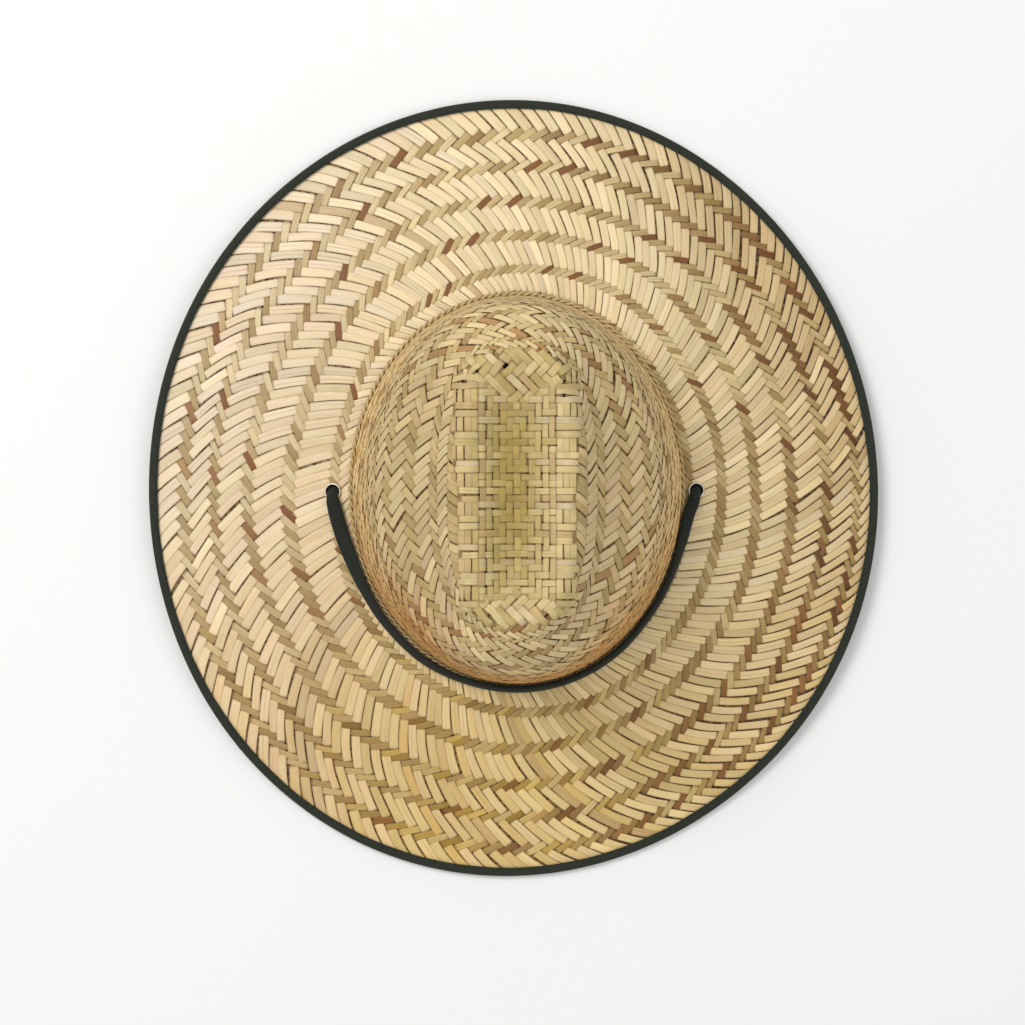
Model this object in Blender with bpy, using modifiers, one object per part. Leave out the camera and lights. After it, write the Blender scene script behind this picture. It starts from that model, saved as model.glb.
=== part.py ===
"""Straw beach hat: a woven straw crown with two ridges and a centre crease, a
wide oval brim bound with folded tape, two eyelets and a chin cord.

Metres, +Z up. The front of the hat is +Y and its right side is +X. The hat
rests on the brim's binding at z = 0, and the outline of the binding is centred
on the origin.
"""

import math
from collections import namedtuple

import bmesh
import bpy
from mathutils import Matrix, Vector

SMOOTH_ANGLE = math.radians(40)  # edges flatter than this are shaded smooth

# Straw and fits
STRAW_WALL = 0.0018  # thickness of the woven straw
FIT_GAP = 0.0003  # play left between two pieces that touch on the real hat

# Crown, measured outside
CROWN_LENGTH = 0.2010  # front to back at its base
CROWN_WIDTH = 0.1706  # side to side at its base
CROWN_HEIGHT = 0.1060  # ridge tops above the base
CROWN_SHIFT = Vector((0.0018, -0.0008))  # base centre from the brim's centre
CROWN_QUARTER_STEPS = 15  # facets in a quarter of the way round
CROWN_SEGMENTS = 4 * CROWN_QUARTER_STEPS
END_SHARPNESS = 4.0  # how late a ring leaves its side height for its end height

# Rings of the crown from the base to the crease. side_out and end_out are
# shares of the half width and half length, side_up and end_up shares of the
# height, and squareness shapes the ring from an oval (2) to a box.
Ring = namedtuple("Ring", "side_out side_up end_out end_up squareness")
CROWN_RINGS = [
    Ring(1.000, 0.000, 1.000, 0.000, 2.00),
    Ring(1.000, 0.030, 1.000, 0.030, 2.00),
    Ring(0.968, 0.150, 0.982, 0.180, 2.00),
    Ring(0.932, 0.270, 0.964, 0.330, 2.00),
    Ring(0.895, 0.385, 0.942, 0.480, 2.05),
    Ring(0.855, 0.480, 0.918, 0.620, 2.10),
    Ring(0.808, 0.548, 0.888, 0.735, 2.15),
    Ring(0.745, 0.598, 0.850, 0.820, 2.20),
    Ring(0.660, 0.645, 0.802, 0.880, 2.30),
    Ring(0.570, 0.698, 0.757, 0.916, 2.40),
    Ring(0.500, 0.758, 0.725, 0.936, 2.50),
    Ring(0.450, 0.838, 0.702, 0.948, 2.60),
    Ring(0.405, 0.928, 0.680, 0.957, 2.70),
    Ring(0.350, 0.984, 0.655, 0.966, 2.80),
    Ring(0.285, 1.000, 0.625, 0.972, 2.80),
    Ring(0.200, 0.978, 0.585, 0.966, 2.80),
    Ring(0.110, 0.945, 0.535, 0.954, 2.80),
    Ring(0.030, 0.930, 0.480, 0.944, 2.80),
]

# Brim, measured outside its binding
BRIM_LENGTH = 0.4084  # front to back
BRIM_WIDTH = 0.3820  # side to side
BRIM_RISE = 0.0240  # crown seat above the flat edge of the brim
BRIM_SIDE_LIFT = 0.0060  # how far the sides of the edge curl up
BRIM_SEGMENTS = 66
SEAT_MARGIN = 0.0008  # flat seat that shows outside the crown wall

# Slow waves that pull the brim's oval out of true, as shares of its radius.
Wave = namedtuple("Wave", "count share peak_deg")
BRIM_WAVES = [
    Wave(1, 0.0090, 208.0),
    Wave(3, 0.0040, -10.0),
    Wave(4, 0.0020, -24.0),
]

# Fall of the brim from the crown (out 0) to the binding (out 1).
Fall = namedtuple("Fall", "out up")
BRIM_FALL = [
    Fall(0.00, 1.000),
    Fall(0.10, 0.900),
    Fall(0.24, 0.725),
    Fall(0.40, 0.520),
    Fall(0.56, 0.330),
    Fall(0.72, 0.165),
    Fall(0.87, 0.045),
    Fall(1.00, 0.000),
]

# Edge binding: one tape folded over the edge of the brim
TAPE_WALL = 0.0008
TAPE_WIDTH = 0.0047  # how far it covers the straw, seen from above
BINDING_SEGMENTS = 84

# Eyelets
EYELET_HOLE = 0.0068
EYELET_BARREL_WALL = 0.0004
EYELET_FLANGE = 0.0088
EYELET_LIP = 0.0006  # thickness of the flange
EYELET_SEGMENTS = 24
Eyelet = namedtuple("Eyelet", "name side from_crown forward")
EYELETS = [
    Eyelet("eyelet_left", -1, 0.0098, -0.0010),
    Eyelet("eyelet_right", 1, 0.0072, -0.0005),
]

# Chin cord: a soft oval cord, kept as a plain round tube
CORD_DIAMETER = 0.0032
CORD_STEP = 0.0120  # spacing of the tube's points along the smooth route
JOIN_LENGTH = 0.0160
JOIN_DIAMETER = 0.0080

# Route of the cord's centre line, chosen by hand: from the join under the
# front brim, up through the right eyelet, behind the crown on top of the brim,
# down through the left eyelet, and back to the join.
CORD_ROUTE = [
    (0.0083, 0.1500, 0.0040),
    (0.0480, 0.1455, 0.0022),
    (0.0860, 0.1230, 0.0020),
    (0.1115, 0.0890, 0.0020),
    (0.1190, 0.0550, 0.0022),
    (0.1105, 0.0295, 0.0034),
    (0.0995, 0.0135, 0.0086),
    (0.0946, 0.0052, 0.0148),
    (0.0933, 0.0009, 0.0207),
    (0.0941, -0.0013, 0.0245),
    (0.0946, -0.0033, 0.0274),
    (0.0948, -0.0070, 0.0302),
    (0.0940, -0.0120, 0.0308),
    (0.0912, -0.0210, 0.0296),
    (0.0876, -0.0325, 0.0282),
    (0.0804, -0.0525, 0.0279),
    (0.0703, -0.0722, 0.0278),
    (0.0560, -0.0890, 0.0273),
    (0.0400, -0.0987, 0.0274),
    (0.0210, -0.1032, 0.0281),
    (0.0034, -0.1044, 0.0284),
    (-0.0150, -0.1029, 0.0283),
    (-0.0340, -0.0970, 0.0281),
    (-0.0520, -0.0856, 0.0280),
    (-0.0686, -0.0676, 0.0279),
    (-0.0800, -0.0486, 0.0278),
    (-0.0874, -0.0310, 0.0279),
    (-0.0919, -0.0185, 0.0295),
    (-0.0937, -0.0118, 0.0303),
    (-0.0943, -0.0072, 0.0294),
    (-0.0938, -0.0037, 0.0269),
    (-0.0931, -0.0018, 0.0240),
    (-0.0923, 0.0004, 0.0202),
    (-0.0936, 0.0047, 0.0144),
    (-0.0988, 0.0130, 0.0084),
    (-0.1100, 0.0290, 0.0034),
    (-0.1190, 0.0550, 0.0022),
    (-0.1115, 0.0890, 0.0020),
    (-0.0860, 0.1230, 0.0020),
    (-0.0480, 0.1455, 0.0022),
    (-0.0083, 0.1500, 0.0040),
]


def clear_scene():
    for obj in list(bpy.data.objects):
        bpy.data.objects.remove(obj, do_unlink=True)


def material(name, colour, roughness, metallic=0.0):
    made = bpy.data.materials.new(name)
    made.use_nodes = True
    shader = made.node_tree.nodes["Principled BSDF"]
    shader.inputs["Base Color"].default_value = (*colour, 1.0)
    shader.inputs["Roughness"].default_value = roughness
    shader.inputs["Metallic"].default_value = metallic
    return made


def collection(name):
    """The collection of this name, made when it is first asked for."""
    found = bpy.data.collections.get(name)
    if found is None:
        found = bpy.data.collections.new(name)
        bpy.context.scene.collection.children.link(found)
    return found


def add_object(name, mesh_or_curve, finish, group="Straw beach hat"):
    obj = bpy.data.objects.new(name, mesh_or_curve)
    collection(group).objects.link(obj)
    obj.data.materials.append(finish)
    return obj


def object_from(bm, name, finish, group="Straw beach hat"):
    mesh = bpy.data.meshes.new(name)
    bm.to_mesh(mesh)
    bm.free()
    mesh.shade_smooth()
    mesh.set_sharp_from_angle(angle=SMOOTH_ANGLE)
    return add_object(name, mesh, finish, group)


def smoothstep(value):
    held = min(max(value, 0.0), 1.0)
    return held * held * (3.0 - 2.0 * held)


def power(value, exponent):
    """value to an exponent, with the sign of value kept."""
    return math.copysign(abs(value) ** exponent, value)


# Outlines seen from above


def crown_outline(angle, inset=0.0):
    """Point of the crown's base at an angle round the crown, inset inwards."""
    half_width = CROWN_WIDTH / 2 - inset
    half_length = CROWN_LENGTH / 2 - inset
    return CROWN_SHIFT + Vector((half_width * math.cos(angle), half_length * math.sin(angle)))


def brim_radius(angle):
    """Radius of the brim's outline before it is centred: an oval and its waves."""
    half_width, half_length = BRIM_WIDTH / 2, BRIM_LENGTH / 2
    oval = 1.0 / math.hypot(math.cos(angle) / half_width, math.sin(angle) / half_length)
    waves = sum(w.share * math.cos(w.count * angle - math.radians(w.count * w.peak_deg)) for w in BRIM_WAVES)
    return oval * (1.0 + waves)


def brim_centring(steps=360):
    """(stretch, shift) that give the waved oval its named size about the origin."""
    angles = [2 * math.pi * i / steps for i in range(steps)]
    xs = [brim_radius(a) * math.cos(a) for a in angles]
    ys = [brim_radius(a) * math.sin(a) for a in angles]
    stretch = Vector((BRIM_WIDTH / (max(xs) - min(xs)), BRIM_LENGTH / (max(ys) - min(ys))))
    middle = Vector(((max(xs) + min(xs)) / 2, (max(ys) + min(ys)) / 2))
    return stretch, middle


STRETCH, MIDDLE = brim_centring()


def brim_outline(angle):
    """Point of the finished outline of the brim, with its binding."""
    radius = brim_radius(angle)
    x = (radius * math.cos(angle) - MIDDLE.x) * STRETCH.x
    y = (radius * math.sin(angle) - MIDDLE.y) * STRETCH.y
    return Vector((x, y))


def brim_outward(angle):
    """Unit vector square to the brim's outline, pointing away from the hat."""
    step = math.radians(0.5)
    along = brim_outline(angle + step) - brim_outline(angle - step)
    return Vector((along.y, -along.x)).normalized()


def edge_lift(angle):
    """Height of the brim's edge: flat at the front and back, lifted at the sides."""
    return BRIM_SIDE_LIFT * smoothstep((abs(math.cos(angle)) - 0.45) / 0.55)


# Brim


def fall_at(out):
    """Share of the rise that is left at a share of the way out, eased between rows."""
    for low, high in zip(BRIM_FALL, BRIM_FALL[1:]):
        if out <= high.out:
            part = (out - low.out) / (high.out - low.out)
            return low.up + (high.up - low.up) * part
    return BRIM_FALL[-1].up


STRAW_EDGE_INSET = TAPE_WALL + FIT_GAP  # the straw's edge stops inside the fold
STRAW_UNDERSIDE = TAPE_WALL + FIT_GAP  # the straw rests inside the lower leaf


def brim_point(angle, out):
    """Top of the straw at a share of the way from the crown's seat to the tape."""
    seat = crown_outline(angle, -SEAT_MARGIN)
    tape = brim_outline(angle) - brim_outward(angle) * (TAPE_WIDTH + FIT_GAP)
    place = seat.lerp(tape, out)
    height = STRAW_UNDERSIDE + STRAW_WALL + BRIM_RISE * fall_at(out) + edge_lift(angle) * smoothstep(out)
    return Vector((place.x, place.y, height))


def brim_section(angle):
    """Closed section of the straw brim: out along the top, back along the underside."""
    hole = crown_outline(angle, STRAW_WALL)
    edge = brim_outline(angle) - brim_outward(angle) * STRAW_EDGE_INSET
    top = [brim_point(angle, row.out) for row in BRIM_FALL]
    top.insert(0, Vector((hole.x, hole.y, top[0].z)))
    top.append(Vector((edge.x, edge.y, top[-1].z)))
    under = [point - Vector((0.0, 0.0, STRAW_WALL)) for point in reversed(top)]
    return top + under


def loft_ring(sections, name, finish):
    """Solid ring through closed sections that stand round it, joined by bridges."""
    bm = bmesh.new()
    loops = []
    for section in sections:
        verts = [bm.verts.new(point) for point in section]
        loops.append([bm.edges.new((a, b)) for a, b in zip(verts, verts[1:] + verts[:1])])
    for here, following in zip(loops, loops[1:] + loops[:1]):
        bmesh.ops.bridge_loops(bm, edges=here + following)
    bmesh.ops.recalc_face_normals(bm, faces=bm.faces)
    return object_from(bm, name, finish)


def build_brim(finish):
    sections = [brim_section(2 * math.pi * i / BRIM_SEGMENTS) for i in range(BRIM_SEGMENTS)]
    return loft_ring(sections, "brim", finish)


def binding_section(angle):
    """Section of the folded tape: an open C that holds the edge of the straw."""
    rim = brim_outline(angle)
    outward = brim_outward(angle)
    lift = edge_lift(angle)
    total = 2 * TAPE_WALL + 2 * FIT_GAP + STRAW_WALL
    inner_low, inner_high = TAPE_WALL, total - TAPE_WALL
    fold = total * 0.3
    # (distance in from the rim, height) round the C, clockwise from the top leaf
    outline = [
        (TAPE_WIDTH, total),
        (fold, total),
        (fold * 0.3, total - fold * 0.3),
        (0.0, total - fold),
        (0.0, fold),
        (fold * 0.3, fold * 0.3),
        (fold, 0.0),
        (TAPE_WIDTH, 0.0),
        (TAPE_WIDTH, inner_low),
        (TAPE_WALL, inner_low),
        (TAPE_WALL, inner_high),
        (TAPE_WIDTH, inner_high),
    ]
    points = []
    for inward, height in outline:
        place = rim - outward * inward
        points.append(Vector((place.x, place.y, height + lift)))
    return points


def build_binding(finish):
    sections = [binding_section(2 * math.pi * i / BINDING_SEGMENTS) for i in range(BINDING_SEGMENTS)]
    return loft_ring(sections, "edge_binding", finish)


# Crown


def crown_base_height():
    return STRAW_UNDERSIDE + STRAW_WALL + BRIM_RISE + FIT_GAP


def crown_point(ring, angle):
    """Point of the crown's outer surface on one ring, at an angle round it."""
    bulge = 2.0 / ring.squareness
    across = CROWN_WIDTH / 2 * ring.side_out * power(math.cos(angle), bulge)
    along = CROWN_LENGTH / 2 * ring.end_out * power(math.sin(angle), bulge)
    to_end = abs(math.sin(angle)) ** END_SHARPNESS
    up = ring.side_up + (ring.end_up - ring.side_up) * to_end
    return Vector((CROWN_SHIFT.x + across, CROWN_SHIFT.y + along, crown_base_height() + CROWN_HEIGHT * up))


def build_crown(finish):
    """One sheet drawn up ring by ring from the base, then given its wall inwards."""
    bm = bmesh.new()
    made = bmesh.ops.create_circle(bm, cap_ends=False, radius=CROWN_WIDTH / 2, segments=CROWN_SEGMENTS)
    loop = sorted(made["verts"], key=lambda v: math.atan2(v.co.y, v.co.x) % (2 * math.pi))
    angles = [2 * math.pi * i / CROWN_SEGMENTS for i in range(CROWN_SEGMENTS)]
    edges = list(bm.edges)
    for ring in CROWN_RINGS:
        if ring is not CROWN_RINGS[0]:
            before = loop
            made = bmesh.ops.extrude_edge_only(bm, edges=edges)["geom"]
            fresh = {g for g in made if isinstance(g, bmesh.types.BMVert)}
            edges = [g for g in made if isinstance(g, bmesh.types.BMEdge) and set(g.verts) <= fresh]
            loop = [next(e.other_vert(v) for e in v.link_edges if e.other_vert(v) in fresh) for v in before]
        for vert, angle in zip(loop, angles):
            vert.co = crown_point(ring, angle)
    # The narrow slot left along the crease is closed by rungs across it.
    half = CROWN_SEGMENTS // 2
    for step in range(half // 2):
        right = [loop[step], loop[step + 1], loop[half - step - 1], loop[half - step]]
        left = [loop[-step], loop[-step - 1], loop[half + step + 1], loop[half + step]]
        for rung in (right, left):
            bmesh.ops.contextual_create(bm, geom=list(dict.fromkeys(rung)))
    bmesh.ops.recalc_face_normals(bm, faces=bm.faces)
    crown = object_from(bm, "crown", finish)
    wall = crown.modifiers.new("Wall", "SOLIDIFY")
    wall.thickness = STRAW_WALL
    wall.offset = -1.0
    wall.use_even_offset = True
    return crown


# Eyelets


def eyelet_frame(eyelet):
    """Matrix that stands an eyelet square to the brim, its origin on the straw's top."""
    angle = 0.0 if eyelet.side > 0 else math.pi
    base = crown_outline(angle)
    x = base.x + eyelet.side * eyelet.from_crown

    def top_at(distance):
        seat, tape = brim_point(angle, 0.0).x, brim_point(angle, 1.0).x
        return brim_point(angle, (distance - seat) / (tape - seat)).z

    step = EYELET_FLANGE / 2
    slope = (top_at(x + step) - top_at(x - step)) / (2 * step)
    normal = Vector((-slope, 0.0, 1.0)).normalized()
    forward = Vector((0.0, 1.0, 0.0))
    across = forward.cross(normal)
    level = (top_at(x + step) + top_at(x - step)) / 2
    place = Vector((x, CROWN_SHIFT.y + eyelet.forward, max(level, top_at(x))))
    turn = Matrix((across, forward, normal)).transposed().to_4x4()
    return Matrix.Translation(place) @ turn


def barrel_radius():
    return EYELET_HOLE / 2 + EYELET_BARREL_WALL


def build_eyelet(eyelet, finish):
    """Spool turned round its axis: a barrel with a rounded flange at each end."""
    inner, barrel, flange = EYELET_HOLE / 2, barrel_radius(), EYELET_FLANGE / 2
    top, under = FIT_GAP, -STRAW_WALL - 1.5 * FIT_GAP
    edge = EYELET_LIP * 0.35
    profile = [
        (inner, top + EYELET_LIP * 0.6),
        (inner + edge, top + EYELET_LIP),
        (flange - edge, top + EYELET_LIP),
        (flange, top + EYELET_LIP * 0.5),
        (flange - edge * 0.5, top),
        (barrel, top),
        (barrel, under),
        (flange - edge * 0.5, under),
        (flange, under - EYELET_LIP * 0.5),
        (flange - edge, under - EYELET_LIP),
        (inner + edge, under - EYELET_LIP),
        (inner, under - EYELET_LIP * 0.6),
    ]
    bm = bmesh.new()
    verts = [bm.verts.new((radius, 0.0, height)) for radius, height in profile]
    for a, b in zip(verts, verts[1:] + verts[:1]):
        bm.edges.new((a, b))
    obj = object_from(bm, eyelet.name, finish)
    obj.matrix_world = eyelet_frame(eyelet)
    turn = obj.modifiers.new("Turn", "SCREW")
    turn.axis = "Z"
    turn.angle = 2 * math.pi
    turn.steps = turn.render_steps = EYELET_SEGMENTS
    turn.use_smooth_shade = True
    turn.use_merge_vertices = True
    turn.merge_threshold = 1e-5
    return obj


def cut_eyelet_hole(brim, eyelet):
    """Round hole through the straw, clear of the eyelet's barrel."""
    bm = bmesh.new()
    bmesh.ops.create_cone(
        bm,
        cap_ends=True,
        segments=EYELET_SEGMENTS,
        radius1=barrel_radius() + FIT_GAP,
        radius2=barrel_radius() + FIT_GAP,
        depth=6 * STRAW_WALL,
    )
    cutter = object_from(bm, "cut_" + eyelet.name, brim.data.materials[0], "Cutters")
    cutter.matrix_world = eyelet_frame(eyelet)
    cutter.hide_render = True
    cutter.display_type = "WIRE"
    hole = brim.modifiers.new("Hole for " + eyelet.name, "BOOLEAN")
    hole.operation = "DIFFERENCE"
    hole.solver = "EXACT"
    hole.object = cutter


# Chin cord


def smooth_route(steps=12):
    """Fine points on the smooth curve through the cord's route, which turns evenly."""
    knots = [Vector(place) for place in CORD_ROUTE]
    knots = [2 * knots[0] - knots[1], *knots, 2 * knots[-1] - knots[-2]]
    fine = []
    for before, start, end, after in zip(knots, knots[1:], knots[2:], knots[3:]):
        gaps = [math.sqrt((b - a).length) for a, b in ((before, start), (start, end), (end, after))]
        lead = ((start - before) / gaps[0] - (end - before) / (gaps[0] + gaps[1]) + (end - start) / gaps[1]) * gaps[1]
        trail = ((end - start) / gaps[1] - (after - start) / (gaps[1] + gaps[2]) + (after - end) / gaps[2]) * gaps[1]
        for step in range(steps):
            t = step / steps
            fine.append(
                start * (2 * t**3 - 3 * t**2 + 1)
                + lead * (t**3 - 2 * t**2 + t)
                + end * (-2 * t**3 + 3 * t**2)
                + trail * (t**3 - t**2)
            )
    return fine + [knots[-2]]


def spaced_route():
    """Points of the smooth route at even steps, and closer where it dives through an eyelet."""
    fine = smooth_route()
    kept = [fine[0]]
    gone = 0.0
    for last, here in zip(fine, fine[1:]):
        gone += (here - last).length
        steep = abs((here - last).normalized().z)
        if gone >= CORD_STEP * (1.0 - 0.75 * smoothstep(2.0 * steep)):
            kept.append(here)
            gone = 0.0
    if (kept[-1] - fine[-1]).length < CORD_STEP / 2:
        kept.pop()
    return kept + [fine[-1]]


def build_cord(finish):
    curve = bpy.data.curves.new("chin_cord", "CURVE")
    curve.dimensions = "3D"
    curve.bevel_depth = CORD_DIAMETER / 2
    curve.bevel_resolution = 2
    curve.use_fill_caps = True
    route = spaced_route()
    spline = curve.splines.new("POLY")
    spline.points.add(len(route) - 1)
    for knot, place in zip(spline.points, route):
        knot.co = (*place, 1.0)
    return add_object("chin_cord", curve, finish)


def build_join(finish):
    """Plain barrel that closes the loop between the two ends of the cord."""
    start, end = Vector(CORD_ROUTE[0]), Vector(CORD_ROUTE[-1])
    bm = bmesh.new()
    bmesh.ops.create_cone(
        bm,
        cap_ends=True,
        segments=20,
        radius1=JOIN_DIAMETER / 2,
        radius2=JOIN_DIAMETER / 2,
        depth=JOIN_LENGTH,
    )
    rims = [e for e in bm.edges if abs(e.verts[0].co.z - e.verts[1].co.z) < 1e-9]
    bmesh.ops.bevel(bm, geom=rims, offset=JOIN_DIAMETER * 0.12, segments=2, affect="EDGES", profile=0.5)
    obj = object_from(bm, "cord_join", finish)
    along = (end - start).normalized()
    middle = (start + end) / 2
    lie = along.to_track_quat("Z", "Y").to_matrix().to_4x4()
    obj.matrix_world = Matrix.Translation((middle.x, middle.y, JOIN_DIAMETER / 2)) @ lie
    return obj


def main():
    clear_scene()
    crown_straw = material("crown_straw", (0.62, 0.47, 0.25), 0.62)
    brim_straw = material("brim_straw", (0.78, 0.64, 0.40), 0.60)
    tape = material("binding_tape", (0.028, 0.036, 0.026), 0.75)
    metal = material("eyelet_metal", (0.72, 0.70, 0.66), 0.30, 1.0)
    cord = material("cord_braid", (0.018, 0.023, 0.018), 0.60)
    plastic = material("join_plastic", (0.012, 0.014, 0.012), 0.45)

    build_crown(crown_straw)
    brim = build_brim(brim_straw)
    build_binding(tape)
    for eyelet in EYELETS:
        cut_eyelet_hole(brim, eyelet)
        build_eyelet(eyelet, metal)
    build_cord(cord)
    build_join(plastic)


if __name__ == "__main__":
    main()
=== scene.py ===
"""Looks of a straw beach hat: the over-and-under weave of its brim and crown, the twined
row between them, the folded edge tape with its stitches, two metal eyelets and a flat
chin cord with a barrel join. Metres, +Z up, the front of the hat towards +Y."""

import logging
import math
from dataclasses import dataclass
from enum import Enum
from typing import Callable, Sequence

import bmesh
import bpy
import numpy as np
from mathutils import Matrix, Vector


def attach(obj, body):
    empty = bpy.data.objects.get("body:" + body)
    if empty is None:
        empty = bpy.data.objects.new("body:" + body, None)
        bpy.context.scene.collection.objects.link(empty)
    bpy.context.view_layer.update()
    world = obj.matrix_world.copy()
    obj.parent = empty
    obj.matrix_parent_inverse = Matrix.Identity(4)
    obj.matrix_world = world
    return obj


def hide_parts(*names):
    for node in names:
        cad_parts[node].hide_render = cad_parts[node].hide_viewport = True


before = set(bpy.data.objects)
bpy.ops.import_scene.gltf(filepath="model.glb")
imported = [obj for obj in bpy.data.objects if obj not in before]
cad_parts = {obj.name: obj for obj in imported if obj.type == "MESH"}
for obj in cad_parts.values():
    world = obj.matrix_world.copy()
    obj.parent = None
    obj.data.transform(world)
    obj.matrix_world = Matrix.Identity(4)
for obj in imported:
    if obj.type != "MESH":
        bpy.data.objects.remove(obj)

log = logging.getLogger("straw_hat")
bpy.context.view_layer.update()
TURN = 2.0 * math.pi
MERGE = 1e-6  # points nearer than this are one
LAY = "lay"  # name of the UV map that runs across and along a piece
Places = Callable[[np.ndarray], np.ndarray]  # points to a value at each


class Slot(Enum):
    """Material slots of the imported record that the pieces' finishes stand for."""

    CROWN = "crown_straw"
    BRIM = "brim_straw"
    TAPE = "binding_tape"
    METAL = "eyelet_metal"
    CORD = "cord_braid"
    PLASTIC = "join_plastic"


class Lean(Enum):
    """Way that a family of strands runs as it goes outwards, seen from above."""

    ANTICLOCKWISE = 1
    CLOCKWISE = -1


def paint(*screen: float) -> tuple[float, ...]:
    """Linear red, green and blue of a screen colour given from 0 to 255."""
    shares = [part / 255.0 for part in screen]
    return tuple(s / 12.92 if s <= 0.04045 else ((s + 0.055) / 1.055) ** 2.4 for s in shares)


def shaded(colour: Sequence[float], share: float) -> tuple[float, ...]:
    """A linear colour that is made darker or lighter by a share."""
    return tuple(part * share for part in colour)


def eased(share: np.ndarray) -> np.ndarray:
    """Smooth step of numbers, held between 0 and 1."""
    held = np.clip(share, 0.0, 1.0)
    return held * held * (3.0 - 2.0 * held)


def unit(vectors: np.ndarray) -> np.ndarray:
    """Vectors along the last axis, made 1 long."""
    return vectors / np.maximum(np.linalg.norm(vectors, axis=-1, keepdims=True), 1e-12)


def gone_along(points: np.ndarray) -> np.ndarray:
    """Distance from the first of a row of points to each of them."""
    return np.concatenate([[0.0], np.cumsum(np.linalg.norm(np.diff(points, axis=0), axis=1))])


def lacking(parts: Sequence[tuple[np.ndarray, tuple[float, float, float]]]) -> np.ndarray:
    """Sum of shares of red, green and blue, each times how far it holds at the points."""
    return sum(share[..., None] * np.array(lack) for share, lack in parts)


def along_rows(rows: np.ndarray, place: np.ndarray) -> np.ndarray:
    """Smooth values between the rows of a table.

    Args:
        rows: A table with one row for each whole number.
        place: Fractional row numbers, of any shape.

    Returns:
        The values, with the table's columns as the last axis.
    """
    low = np.clip(np.floor(place).astype(int), 0, len(rows) - 2)
    t = (place - low)[..., None]
    before, after = rows[np.maximum(low - 1, 0)], rows[np.minimum(low + 2, len(rows) - 1)]
    start, end = rows[low], rows[low + 1]
    lead, trail = (end - before) / 2.0, (after - start) / 2.0
    return (start * (2 * t**3 - 3 * t**2 + 1) + lead * (t**3 - 2 * t**2 + t)
            + end * (-2 * t**3 + 3 * t**2) + trail * (t**3 - t**2))


# Forms that the pieces lie on, with the same tables as the solids


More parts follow.
